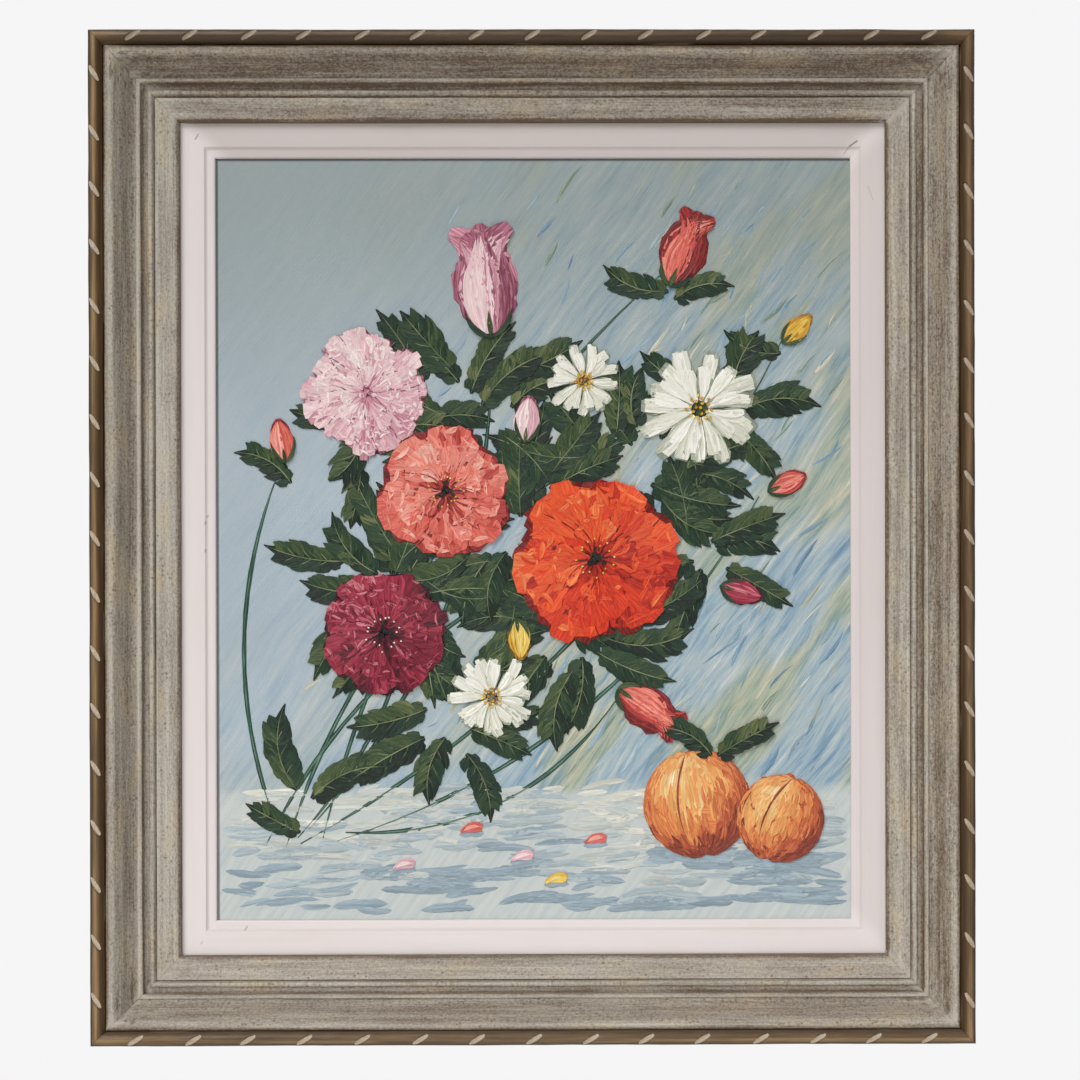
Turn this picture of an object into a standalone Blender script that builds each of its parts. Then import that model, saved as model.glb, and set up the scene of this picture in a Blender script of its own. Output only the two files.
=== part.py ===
"""Framed oil painting, hung by a toothed plate on the back of its top rail.

Four mitred moulding rails hold four mitred liner rails, and the liner holds a canvas
wrapped round a keyed stretcher. Metres, +Z up. The picture faces -Y, and the back of
the moulding lies in the plane Y = 0. The origin is the notch in the middle of the
hanger's teeth, where the nail takes the weight.

Every mitred rail is made in its own frame and then laid on its side of the picture:
local X runs inwards from the rail's outer edge, local Y from the back of the
moulding towards the viewer, and local Z along the rail.
"""

import math
import random

import bmesh
import bpy
from mathutils import Matrix, Vector

# Canvas and stretcher
CANVAS_WIDTH = 0.460
CANVAS_HEIGHT = 0.550
CANVAS_THICKNESS = 0.0006
CANVAS_FOLD = 0.020
STRETCHER_FACE = 0.045
STRETCHER_DEPTH = 0.014
STRETCHER_LAND = 0.008
STRETCHER_BEVEL = 0.0025
STRETCHER_BACK_CHAMFER = 0.0015
KEY_LENGTH = 0.032
KEY_WIDE_END = 0.011
KEY_NARROW_END = 0.006
KEY_THICKNESS = 0.003
KEY_IN_SLOT = 0.010
KEY_OFF_NEIGHBOUR = 0.002
KEY_LAYER_GAP = 0.0015

# Liner
LINER_LAP = 0.005
LINER_FACE = 0.0240
LINER_STEP_AT = 0.0172
LINER_STEP_DROP = 0.0013
LINER_LIP = 0.0035
LINER_OFF_BACK = 0.0005

# Moulding
MOULDING_FACE = 0.0583
MOULDING_DEPTH = 0.050
MOULDING_LAP = 0.008
RABBET_DEPTH = 0.0225
SIDE_SET_BACK = 0.002
BEAD_WIDTH = 0.0096
VALLEY_WIDTH = 0.0008
VALLEY_FLOOR = 0.0434
SHOULDER_WIDTH = 0.0041
SHOULDER_HEIGHT = 0.0460
COVE_WIDTH = 0.0151
COVE_FLOOR = 0.0323
RIDGE_WIDTH = 0.0034
RIDGE_HEIGHT = 0.0338
HOLLOW_WIDTH = 0.0040
HOLLOW_FLOOR = 0.0295
SMALL_BEAD_WIDTH = 0.0038
GROOVE_WIDTH = 0.0013
GROOVE_FLOOR = 0.0278
BAND_OUTER_HEIGHT = 0.0289
BAND_INNER_HEIGHT = 0.0274
LIP_RADIUS = 0.0034

# Slanting nicks carved across the outer bead
NICK_START = 0.032
NICK_PITCH = 0.0395
NICK_JITTER = 0.0012
NICK_MOUTH = 0.0030
NICK_FLOOR = 0.0012
NICK_DEPTH = 0.0011
NICK_LEAN = 1.1
NICK_FROM_DEG = 62.0
NICK_TO_DEG = 205.0

# Thin flat points that keep the canvas in its liner
POINT_LENGTH = 0.016
POINT_WIDTH = 0.009
POINT_THICKNESS = 0.0005
POINT_IN_WOOD = 0.005
POINTS_A_SIDE = 2

# Toothed hanger and its two screws
HANGER_LENGTH = 0.076
HANGER_HEIGHT = 0.014
HANGER_THICKNESS = 0.0010
HANGER_RISE = 0.0024
HANGER_FOOT = 0.013
HANGER_RAMP = 0.004
HANGER_NOTCH_BELOW_TOP = 0.031
TOOTH_COUNT = 10
TOOTH_PITCH = 0.0036
TOOTH_DEPTH = 0.0020
SCREW_SHANK_R = 0.0014
SCREW_HEAD_R = 0.0031
SCREW_HEAD_HEIGHT = 0.0018
SCREW_IN_WOOD = 0.012
SCREW_POINT = 0.004

# Clearances
FIT = 0.0003
CANVAS_PLAY = 0.0005
LINER_PLAY = 0.0005

# Worked out from the values above, all measured from the plane of the back
LINER_FRONT = RABBET_DEPTH - FIT
LINER_LEDGE = LINER_FRONT - LINER_LIP
CANVAS_FRONT = LINER_LEDGE - FIT
STRETCHER_FRONT = CANVAS_FRONT - CANVAS_THICKNESS - FIT
STRETCHER_BACK = STRETCHER_FRONT - STRETCHER_DEPTH
CANVAS_BACK = STRETCHER_BACK - CANVAS_THICKNESS - FIT
POINT_FRONT = CANVAS_BACK - FIT

SIGHT_WIDTH = CANVAS_WIDTH - 2 * LINER_LAP
SIGHT_HEIGHT = CANVAS_HEIGHT - 2 * LINER_LAP
OUTER_WIDTH = SIGHT_WIDTH + 2 * (LINER_FACE + MOULDING_FACE)
OUTER_HEIGHT = SIGHT_HEIGHT + 2 * (LINER_FACE + MOULDING_FACE)
RABBET_WALL = MOULDING_FACE - MOULDING_LAP
LINER_WIDTH = OUTER_WIDTH - 2 * (RABBET_WALL + LINER_PLAY)
LINER_HEIGHT = OUTER_HEIGHT - 2 * (RABBET_WALL + LINER_PLAY)
LINER_SECTION = MOULDING_LAP - LINER_PLAY + LINER_FACE
LINER_WALL = LINER_SECTION - LINER_LAP - CANVAS_PLAY
STRETCHER_WIDTH = CANVAS_WIDTH - 2 * (CANVAS_THICKNESS + FIT)
STRETCHER_HEIGHT = CANVAS_HEIGHT - 2 * (CANVAS_THICKNESS + FIT)
BEAD_RADIUS = BEAD_WIDTH / 2
CENTRE_BELOW_NOTCH = OUTER_HEIGHT / 2 - HANGER_NOTCH_BELOW_TOP

TURN_OF_SIDE = {"bottom": 0, "right": -90, "top": 180, "left": 90}

for leftover in list(bpy.data.objects):
    bpy.data.objects.remove(leftover, do_unlink=True)

parts = bpy.data.collections.new("framed_oil_painting")
cutters = bpy.data.collections.new("cutters")
bpy.context.scene.collection.children.link(parts)
bpy.context.scene.collection.children.link(cutters)

picture_centre = bpy.data.objects.new("picture_centre", None)
picture_centre.location = (0, 0, -CENTRE_BELOW_NOTCH)
parts.objects.link(picture_centre)


def material(name, colour, roughness, metallic=0.0):
    made = bpy.data.materials.new(name)
    made.use_nodes = True
    shader = made.node_tree.nodes["Principled BSDF"]
    shader.inputs["Base Color"].default_value = (*colour, 1)
    shader.inputs["Roughness"].default_value = roughness
    shader.inputs["Metallic"].default_value = metallic
    return made


LIMED_WOOD = material("limed_wood", (0.36, 0.31, 0.25), 0.62)
WHITE_PAINT = material("white_paint", (0.72, 0.67, 0.65), 0.45)
PAINTED_CLOTH = material("painted_cloth", (0.42, 0.52, 0.58), 0.60)
PALE_WOOD = material("pale_wood", (0.62, 0.47, 0.30), 0.70)
KEY_WOOD = material("key_wood", (0.50, 0.35, 0.21), 0.65)
STEEL = material("steel", (0.55, 0.53, 0.50), 0.40, 1.0)


def arc(centre, radius, start, end, steps):
    """Points round a centre, angles in degrees, both ends included."""
    turns = [math.radians(start + (end - start) * i / steps) for i in range(steps + 1)]
    return [
        (centre[0] + radius * math.cos(turn), centre[1] + radius * math.sin(turn))
        for turn in turns
    ]


def mesh_object(name, mesh, finish, collection=parts):
    made = bpy.data.objects.new(name, mesh)
    made.parent = picture_centre
    collection.objects.link(made)
    if finish:
        mesh.materials.clear()
        mesh.materials.append(finish)
    if collection is cutters:
        made.hide_render = True
        made.display_type = "WIRE"
    return made


def mesh_from(bm, name):
    """Closes a bmesh into a mesh with its faces pointing out."""
    bmesh.ops.recalc_face_normals(bm, faces=bm.faces)
    mesh = bpy.data.meshes.new(name)
    bm.to_mesh(mesh)
    bm.free()
    return mesh


def extruded(name, outline, thickness):
    """A flat outline in local XY, thickened evenly either side of local Z = 0."""
    curve = bpy.data.curves.new(name, "CURVE")
    curve.dimensions = "2D"
    curve.fill_mode = "BOTH"
    curve.extrude = thickness / 2
    spline = curve.splines.new("POLY")
    spline.points.add(len(outline) - 1)
    spline.use_cyclic_u = True
    for point, (x, y) in zip(spline.points, outline):
        point.co = (x, y, 0, 1)
    drawn = bpy.data.objects.new(name, curve)
    parts.objects.link(drawn)
    graph = bpy.context.evaluated_depsgraph_get()
    filled = bpy.data.meshes.new_from_object(drawn.evaluated_get(graph))
    bm = bmesh.new()
    bm.from_mesh(filled)
    bmesh.ops.remove_doubles(bm, verts=bm.verts, dist=1e-6)
    bpy.data.objects.remove(drawn)
    bpy.data.curves.remove(curve)
    bpy.data.meshes.remove(filled)
    return mesh_from(bm, name)


def smooth(obj, angle=40):
    obj.data.shade_smooth()
    obj.data.set_sharp_from_angle(angle=math.radians(angle))


def cut(obj, cutter):
    boolean = obj.modifiers.new(cutter.name, "BOOLEAN")
    boolean.operation = "DIFFERENCE"
    boolean.solver = "EXACT"
    boolean.object = cutter


def lay_on_side(obj, side, width, height):
    """Turns an object made in a rail's own frame onto one side of a picture of that size."""
    half = (height if side in ("top", "bottom") else width) / 2
    own_frame = Matrix(((0, 0, 1, 0), (0, -1, 0, 0), (1, 0, 0, 0), (0, 0, 0, 1)))
    turn = Matrix.Rotation(math.radians(TURN_OF_SIDE[side]), 4, "Y")
    obj.matrix_basis = turn @ Matrix.Translation((0, 0, -half)) @ own_frame


def side_length(side, width, height):
    return width if side in ("top", "bottom") else height


def mitred_rail(name, profile, side, width, height, finish):
    """One side of a rectangular frame, cut at 45 degrees with a hairline at each mitre."""
    length = side_length(side, width, height)
    mesh = extruded(name, profile, length)
    for vertex in mesh.vertices:
        end = 1 if vertex.co.z > 0 else -1
        vertex.co.z = end * (length / 2 - vertex.co.x - FIT / math.sqrt(2))
    rail = mesh_object(name, mesh, finish)
    lay_on_side(rail, side, width, height)
    smooth(rail)
    return rail


def box_mesh(name, low, high):
    bm = bmesh.new()
    bmesh.ops.create_cube(bm, size=1)
    low, high = Vector(low), Vector(high)
    bmesh.ops.scale(bm, vec=high - low, verts=bm.verts)
    bmesh.ops.translate(bm, vec=(low + high) / 2, verts=bm.verts)
    return mesh_from(bm, name)


def joined(name, meshes):
    """Several closed meshes as one, for a row of cuts made by a single cutter."""
    bm = bmesh.new()
    for mesh in meshes:
        bm.from_mesh(mesh)
        bpy.data.meshes.remove(mesh)
    return mesh_from(bm, name)


def moulding_profile():
    """Section of the moulding: bead, valley, shoulder, cove, ridge, hollow, small bead,
    groove, band and lip, from the outer edge inwards."""
    bead_centre = (BEAD_RADIUS, MOULDING_DEPTH - BEAD_RADIUS)
    points = [(SIDE_SET_BACK, 0), (SIDE_SET_BACK, MOULDING_DEPTH - BEAD_WIDTH * 0.9)]
    points += arc(bead_centre, BEAD_RADIUS, 212, 8, 10)
    x = BEAD_WIDTH + VALLEY_WIDTH
    points += [(x - VALLEY_WIDTH / 2, VALLEY_FLOOR), (x, VALLEY_FLOOR + 0.0014)]
    for share, drop in ((0.15, 0.0004), (0.45, 0.0), (0.8, 0.00015)):
        points.append((x + SHOULDER_WIDTH * share, SHOULDER_HEIGHT - drop))
    x += SHOULDER_WIDTH
    fall = SHOULDER_HEIGHT - 0.0005 - COVE_FLOOR
    for i in range(11):
        share = i / 10
        height = COVE_FLOOR + fall * (1 + math.cos(math.pi * share)) / 2
        points.append((x + COVE_WIDTH * share, height))
    x += COVE_WIDTH
    round_off = RIDGE_WIDTH * 0.2
    points += [
        (x + round_off * 0.5, RIDGE_HEIGHT - round_off),
        (x + round_off, RIDGE_HEIGHT),
        (x + RIDGE_WIDTH - round_off, RIDGE_HEIGHT),
        (x + RIDGE_WIDTH, RIDGE_HEIGHT - round_off),
        (x + RIDGE_WIDTH + round_off / 2, HOLLOW_FLOOR + round_off),
    ]
    x += RIDGE_WIDTH + HOLLOW_WIDTH
    points.append((x, HOLLOW_FLOOR))
    small_centre = (x + SMALL_BEAD_WIDTH / 2, HOLLOW_FLOOR - 0.0003)
    points += arc(small_centre, SMALL_BEAD_WIDTH / 2, 160, 8, 6)
    x += SMALL_BEAD_WIDTH
    points += [(x + GROOVE_WIDTH / 2, GROOVE_FLOOR), (x + GROOVE_WIDTH, BAND_OUTER_HEIGHT)]
    lip_centre = (MOULDING_FACE - LIP_RADIUS, BAND_INNER_HEIGHT - LIP_RADIUS)
    points += arc(lip_centre, LIP_RADIUS, 84, 0, 5)
    points += [(MOULDING_FACE, RABBET_DEPTH), (RABBET_WALL, RABBET_DEPTH), (RABBET_WALL, 0)]
    return points


def nick_cutter(side):
    """A row of grooves bent round the bead and leaning along the rail, spaced by hand."""
    length = side_length(side, OUTER_WIDTH, OUTER_HEIGHT)
    count = round((length - 2 * NICK_START) / NICK_PITCH) + 1
    pitch = (length - 2 * NICK_START) / (count - 1)
    hand = random.Random("nicks " + side)
    inner = BEAD_RADIUS - NICK_DEPTH
    outer = BEAD_RADIUS + FIT
    nicks = []
    for i in range(count):
        bm = bmesh.new()
        corners = (
            (inner, 0, -NICK_FLOOR / 2),
            (outer, 0, -NICK_MOUTH / 2),
            (outer, 0, NICK_MOUTH / 2),
            (inner, 0, NICK_FLOOR / 2),
        )
        section = bm.faces.new([bm.verts.new(corner) for corner in corners])
        start = Matrix.Rotation(math.radians(NICK_FROM_DEG), 3, "Z")
        bmesh.ops.rotate(bm, verts=bm.verts, matrix=start)
        bmesh.ops.spin(
            bm,
            geom=[section, *section.edges, *section.verts],
            cent=(0, 0, 0),
            axis=(0, 0, 1),
            angle=math.radians(NICK_TO_DEG - NICK_FROM_DEG),
            steps=6,
            use_merge=False,
        )
        along = -length / 2 + NICK_START + pitch * i + hand.uniform(-1, 1) * NICK_JITTER
        for vertex in bm.verts:
            vertex.co.z += NICK_LEAN * vertex.co.x + along
            vertex.co.x += BEAD_RADIUS
            vertex.co.y += MOULDING_DEPTH - BEAD_RADIUS
        nicks.append(mesh_from(bm, "nick"))
    cutter = mesh_object("nicks_" + side, joined("nicks_" + side, nicks), None, cutters)
    lay_on_side(cutter, side, OUTER_WIDTH, OUTER_HEIGHT)
    return cutter


def make_moulding():
    rails = {}
    for side in TURN_OF_SIDE:
        rail = mitred_rail(
            "moulding_" + side, moulding_profile(), side, OUTER_WIDTH, OUTER_HEIGHT, LIMED_WOOD
        )
        cut(rail, nick_cutter(side))
        rails[side] = rail
    return rails


def liner_profile():
    """Section of the liner: a flat face under the moulding's lip, a step, and a band
    whose rounded edge laps the canvas."""
    step = LINER_SECTION - LINER_FACE + LINER_STEP_AT
    band = LINER_FRONT - LINER_STEP_DROP
    edge = 0.0016
    points = [(0, LINER_OFF_BACK), (0, LINER_FRONT), (step - 0.0004, LINER_FRONT)]
    points += [(step, LINER_FRONT - 0.0004), (step + 0.0001, band)]
    points += arc((LINER_SECTION - edge, band - 0.0003 - edge), edge, 80, 0, 5)
    points += [(LINER_SECTION, LINER_LEDGE), (LINER_WALL, LINER_LEDGE)]
    return points + [(LINER_WALL, LINER_OFF_BACK)]


def point_places(side):
    """Where the points stand along a side, from its middle."""
    length = side_length(side, CANVAS_WIDTH, CANVAS_HEIGHT)
    return [
        length * ((i + 0.5) / POINTS_A_SIDE - 0.5) for i in range(POINTS_A_SIDE)
    ]


def make_liner():
    for side in TURN_OF_SIDE:
        rail = mitred_rail(
            "liner_" + side, liner_profile(), side, LINER_WIDTH, LINER_HEIGHT, WHITE_PAINT
        )
        slots = [
            box_mesh(
                "slot",
                (
                    LINER_WALL - POINT_IN_WOOD - FIT,
                    POINT_FRONT - POINT_THICKNESS - FIT,
                    place - POINT_WIDTH / 2 - FIT,
                ),
                (LINER_WALL + FIT, POINT_FRONT + FIT, place + POINT_WIDTH / 2 + FIT),
            )
            for place in point_places(side)
        ]
        name = "point_slots_" + side
        cutter = mesh_object(name, joined(name, slots), None, cutters)
        lay_on_side(cutter, side, LINER_WIDTH, LINER_HEIGHT)
        cut(rail, cutter)


def make_points():
    """Flat steel points pushed into the liner's wall behind the folded canvas."""
    tip = POINT_WIDTH * 0.3
    back, front = LINER_WALL - POINT_IN_WOOD, LINER_WALL - POINT_IN_WOOD + POINT_LENGTH
    half = POINT_WIDTH / 2
    outline = [
        (back, -half * 0.4),
        (back + tip, -half),
        (front - tip, -half),
        (front, -half * 0.4),
        (front, half * 0.4),
        (front - tip, half),
        (back + tip, half),
        (back, half * 0.4),
    ]
    for side in TURN_OF_SIDE:
        for number, place in enumerate(point_places(side), 1):
            name = f"framing_point_{side}_{number}"
            mesh = extruded(name, outline, POINT_THICKNESS)
            lie_flat = Matrix.Rotation(math.radians(90), 4, "X")
            middle = POINT_FRONT - POINT_THICKNESS / 2
            mesh.transform(Matrix.Translation((0, middle, place)) @ lie_flat)
            point = mesh_object(name, mesh, STEEL)
            lay_on_side(point, side, LINER_WIDTH, LINER_HEIGHT)


def make_canvas():
    """One sheet over the front and edges of the stretcher, turned onto its back."""
    bm = bmesh.new()
    bmesh.ops.create_cube(bm, size=1)
    size = (CANVAS_WIDTH, CANVAS_FRONT - CANVAS_BACK, CANVAS_HEIGHT)
    bmesh.ops.scale(bm, vec=size, verts=bm.verts)
    bmesh.ops.translate(bm, vec=(0, -(CANVAS_FRONT + CANVAS_BACK) / 2, 0), verts=bm.verts)
    back = max(bm.faces, key=lambda face: face.calc_center_median().y)
    bmesh.ops.inset_region(bm, faces=[back], thickness=CANVAS_FOLD, use_even_offset=True)
    bmesh.ops.delete(bm, geom=[back], context="FACES_ONLY")
    canvas = mesh_object("canvas", mesh_from(bm, "canvas"), PAINTED_CLOTH)
    sheet = canvas.modifiers.new("sheet", "SOLIDIFY")
    sheet.thickness = CANVAS_THICKNESS
    sheet.offset = -1
    sheet.use_even_offset = True


def stretcher_profile():
    """Section of a stretcher bar, bevelled away behind the picture."""
    back, front = STRETCHER_BACK, STRETCHER_FRONT
    chamfer = STRETCHER_BACK_CHAMFER
    return [
        (0, back),
        (0, front),
        (STRETCHER_LAND, front),
        (STRETCHER_FACE, front - STRETCHER_BEVEL),
        (STRETCHER_FACE, back + chamfer),
        (STRETCHER_FACE - chamfer, back),
    ]


def key_layer(side):
    """Middle height of a key: the bars' two slots lie one behind the other."""
    middle = (STRETCHER_FRONT + STRETCHER_BACK) / 2 - STRETCHER_BEVEL / 4
    offset = (KEY_THICKNESS + KEY_LAYER_GAP) / 2
    return middle + (offset if side in ("top", "bottom") else -offset)


def make_stretcher():
    """Four bars and, at each inner corner, a wedge in a slot of either bar."""
    for side in TURN_OF_SIDE:
        bar = mitred_rail(
            "stretcher_" + side,
            stretcher_profile(),
            side,
            STRETCHER_WIDTH,
            STRETCHER_HEIGHT,
            PALE_WOOD,
        )
        corner = side_length(side, STRETCHER_WIDTH, STRETCHER_HEIGHT) / 2 - STRETCHER_FACE
        near = corner - KEY_OFF_NEIGHBOUR
        layer = key_layer(side)
        bottom = STRETCHER_FACE - KEY_IN_SLOT
        outline = [
            (bottom, near),
            (bottom, near - KEY_NARROW_END),
            (bottom + KEY_LENGTH, near - KEY_WIDE_END),
            (bottom + KEY_LENGTH, near),
        ]
        slots = []
        for end, word in ((1, "a"), (-1, "b")):
            reach = sorted((end * (near + FIT), end * (near - KEY_WIDE_END)))
            slots.append(
                box_mesh(
                    "slot",
                    (bottom - FIT, layer - KEY_THICKNESS / 2 - FIT, reach[0]),
                    (STRETCHER_FACE + FIT, layer + KEY_THICKNESS / 2 + FIT, reach[1]),
                )
            )
            name = f"key_{side}_{word}"
            mesh = extruded(name, [(x, end * along) for x, along in outline], KEY_THICKNESS)
            stand = Matrix(((1, 0, 0, 0), (0, 0, 1, layer), (0, 1, 0, 0), (0, 0, 0, 1)))
            mesh.transform(stand)
            mesh.flip_normals()
            key = mesh_object(name, mesh, KEY_WOOD)
            lay_on_side(key, side, STRETCHER_WIDTH, STRETCHER_HEIGHT)
        name = "key_slots_" + side
        cutter = mesh_object(name, joined(name, slots), None, cutters)
        lay_on_side(cutter, side, STRETCHER_WIDTH, STRETCHER_HEIGHT)
        cut(bar, cutter)


def screw_places():
    reach = (HANGER_LENGTH - HANGER_FOOT) / 2
    return (-reach, reach)


def make_hanger(top_rail):
    """A bridge-shaped plate with teeth along its lower edge, and its two screws."""
    half = HANGER_LENGTH / 2
    foot_end, top_end = half - HANGER_FOOT, half - HANGER_FOOT - HANGER_RAMP
    right = [(half, 0), (foot_end, 0), (top_end, HANGER_RISE)]
    lower = right + [(-x, y) for x, y in reversed(right)]
    upper = [(x, y + HANGER_THICKNESS) for x, y in reversed(lower)]
    plate = mesh_object("hanger", extruded("hanger", lower + upper, HANGER_HEIGHT), STEEL)
    middle = HANGER_HEIGHT / 2 - TOOTH_DEPTH
    plate.location = (0, FIT, CENTRE_BELOW_NOTCH + middle)

    comb = [(-TOOTH_COUNT * TOOTH_PITCH / 2, -HANGER_HEIGHT)]
    for i in range(TOOTH_COUNT + 1):
        x = (i - TOOTH_COUNT / 2) * TOOTH_PITCH
        if i:
            comb.append((x - TOOTH_PITCH / 2, -HANGER_HEIGHT / 2 - FIT))
        comb.append((x, -HANGER_HEIGHT / 2 + TOOTH_DEPTH))
    comb.append((TOOTH_COUNT * TOOTH_PITCH / 2, -HANGER_HEIGHT))
    depth = 4 * (HANGER_RISE + HANGER_THICKNESS)
    teeth = mesh_object("hanger_teeth", extruded("hanger_teeth", comb, depth), None, cutters)
    teeth.rotation_euler = (math.radians(90), 0, 0)
    teeth.location = plate.location
    cut(plate, teeth)

    for number, x in enumerate(screw_places(), 1):
        hole = cylinder(f"hanger_hole_{number}", SCREW_SHANK_R + FIT, -0.004, 0.004)
        hole.location = plate.location + Vector((x, 0, 0))
        cut(plate, hole)
        bore = cylinder(
            f"screw_bore_{number}", SCREW_SHANK_R + FIT, -SCREW_IN_WOOD - FIT, FIT
        )
        bore.location = Vector((x, 0, plate.location.z))
        cut(top_rail, bore)
        screw = make_screw(f"hanger_screw_{number}")
        screw.location = (x, HANGER_THICKNESS + 2 * FIT, plate.location.z)


def cylinder(name, radius, low, high):
    """A cutter along Y between two heights."""
    bm = bmesh.new()
    bmesh.ops.create_cone(
        bm, cap_ends=True, segments=16, radius1=radius, radius2=radius, depth=high - low
    )
    bmesh.ops.rotate(bm, verts=bm.verts, matrix=Matrix.Rotation(math.radians(-90), 3, "X"))
    bmesh.ops.translate(bm, vec=(0, (low + high) / 2, 0), verts=bm.verts)
    return mesh_object(name, mesh_from(bm, name), None, cutters)


def make_screw(name):
    """A round-headed wood screw, turned about its own axis, its head towards +Y."""
    head = [
        (SCREW_HEAD_R * math.sin(turn), SCREW_HEAD_HEIGHT * math.cos(turn))
        for turn in (math.radians(90 * i / 5) for i in range(6))
    ]
    tip = -SCREW_IN_WOOD - HANGER_THICKNESS - FIT
    outline = head + [(SCREW_SHANK_R, 0), (SCREW_SHANK_R, tip + SCREW_POINT), (0, tip)]
    bm = bmesh.new()
    verts = [bm.verts.new((x, 0, z)) for x, z in outline]
    for first, second in zip(verts, verts[1:]):
        bm.edges.new((first, second))
    mesh = bpy.data.meshes.new(name)
    bm.to_mesh(mesh)
    bm.free()
    screw = mesh_object(name, mesh, STEEL)
    turned = screw.modifiers.new("turned", "SCREW")
    turned.steps = turned.render_steps = 16
    turned.use_merge_vertices = True
    turned.merge_threshold = 0.00001
    turned.use_smooth_shade = True
    screw.rotation_euler = (math.radians(-90), 0, 0)
    return screw


moulding = make_moulding()
make_liner()
make_points()
make_canvas()
make_stretcher()
make_hanger(moulding["top"])
bpy.context.view_layer.update()
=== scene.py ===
import math
import random

import bpy
import numpy as np
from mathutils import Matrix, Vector


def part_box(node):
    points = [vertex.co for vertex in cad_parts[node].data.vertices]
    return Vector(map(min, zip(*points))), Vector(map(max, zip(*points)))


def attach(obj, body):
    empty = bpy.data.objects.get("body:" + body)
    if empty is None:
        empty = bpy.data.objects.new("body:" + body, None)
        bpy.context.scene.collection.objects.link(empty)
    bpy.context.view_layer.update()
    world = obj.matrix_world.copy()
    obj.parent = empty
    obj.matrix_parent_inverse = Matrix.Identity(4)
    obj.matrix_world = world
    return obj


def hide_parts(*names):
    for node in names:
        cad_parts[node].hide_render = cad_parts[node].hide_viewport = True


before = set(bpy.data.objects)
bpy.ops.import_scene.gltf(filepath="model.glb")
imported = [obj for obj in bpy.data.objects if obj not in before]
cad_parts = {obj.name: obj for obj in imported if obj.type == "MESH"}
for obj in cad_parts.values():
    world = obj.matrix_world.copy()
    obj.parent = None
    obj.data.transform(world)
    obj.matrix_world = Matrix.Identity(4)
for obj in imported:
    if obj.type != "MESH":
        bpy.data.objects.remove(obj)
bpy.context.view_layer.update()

# Framed oil painting. Metres, +Z up, the picture faces -Y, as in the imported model.
# Mitred rails are made along a straight line and laid on a side of the picture:
# inset runs inwards from the rail's outer edge, depth from the back towards the viewer.

# The picture's own sizes, read from the solids
OUTER_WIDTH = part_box("moulding_right")[1].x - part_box("moulding_left")[0].x
OUTER_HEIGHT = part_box("moulding_top")[1].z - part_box("moulding_bottom")[0].z
LINER_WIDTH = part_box("liner_right")[1].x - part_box("liner_left")[0].x
LINER_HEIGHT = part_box("liner_top")[1].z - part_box("liner_bottom")[0].z
CANVAS_LOW, CANVAS_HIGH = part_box("canvas")
CANVAS_WIDTH = CANVAS_HIGH.x - CANVAS_LOW.x
CANVAS_HEIGHT = CANVAS_HIGH.z - CANVAS_LOW.z
CANVAS_FRONT = -CANVAS_LOW.y
CANVAS_BACK = -CANVAS_HIGH.y
CENTRE = Vector((0, 0, (CANVAS_LOW.z + CANVAS_HIGH.z) / 2))
MITRE_GAP = 0.00002

# Section of the moulding
MOULDING_FACE = 0.0583
MOULDING_DEPTH = 0.050
MOULDING_LAP = 0.008
RABBET_DEPTH = 0.0225
SIDE_SET_BACK = 0.002
BEAD_WIDTH = 0.0096
BEAD_RADIUS = BEAD_WIDTH / 2
VALLEY_WIDTH = 0.0008
VALLEY_FLOOR = 0.0434
SHOULDER_WIDTH = 0.0041
SHOULDER_HEIGHT = 0.0460
COVE_WIDTH = 0.0151
COVE_FLOOR = 0.0323
RIDGE_WIDTH = 0.0034
RIDGE_HEIGHT = 0.0338
HOLLOW_WIDTH = 0.0040
HOLLOW_FLOOR = 0.0295
SMALL_BEAD_WIDTH = 0.0038
GROOVE_WIDTH = 0.0013
GROOVE_FLOOR = 0.0278
BAND_OUTER_HEIGHT = 0.0289
BAND_INNER_HEIGHT = 0.0274
LIP_RADIUS = 0.0034

# Nicks across the outer bead
NICK_START = 0.032
NICK_PITCH = 0.0395
NICK_JITTER = 0.0012
NICK_HALF = 0.0030
NICK_DEPTH = 0.0010
NICK_LEAN = 1.25
NICK_FROM_DEG = 48.0
NICK_TO_DEG = 138.0
NICK_REACH = 0.0064

# Section of the liner
LINER_FACE = 0.0240
LINER_LAP = 0.005
LINER_STEP_AT = 0.0172
LINER_STEP_DROP = 0.0013
LINER_LIP = 0.0035
LINER_OFF_BACK = 0.0005
LINER_SECTION = MOULDING_LAP - 0.0005 + LINER_FACE
LINER_FRONT = RABBET_DEPTH - 0.0003
LINER_LEDGE = LINER_FRONT - LINER_LIP
LINER_WALL = LINER_SECTION - LINER_LAP - 0.0005
SIGHT_WIDTH = CANVAS_WIDTH - 2 * LINER_LAP
SIGHT_HEIGHT = CANVAS_HEIGHT - 2 * LINER_LAP

# Threads of the linen, for each metre of cloth
LINEN_THREADS = 1150.0

# Where each part of the moulding's face starts, inwards from the outer edge
SHOULDER_AT = BEAD_WIDTH + VALLEY_WIDTH
COVE_AT = SHOULDER_AT + SHOULDER_WIDTH
RIDGE_AT = COVE_AT + COVE_WIDTH
HOLLOW_AT = RIDGE_AT + RIDGE_WIDTH
SMALL_BEAD_AT = HOLLOW_AT + HOLLOW_WIDTH
GROOVE_AT = SMALL_BEAD_AT + SMALL_BEAD_WIDTH
BAND_AT = GROOVE_AT + GROOVE_WIDTH
LIP_AT = MOULDING_FACE - LIP_RADIUS

# How far apart the sections of a rail's mesh lie, along the rail
STATION_STEP = 0.0020
NICK_STATION_STEP = 0.0008
LINER_STATION_STEP = 0.0025
LINEN_STATION_STEP = 0.003
SIDES = ("bottom", "right", "top", "left")


# Colours, nodes and finishes


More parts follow.
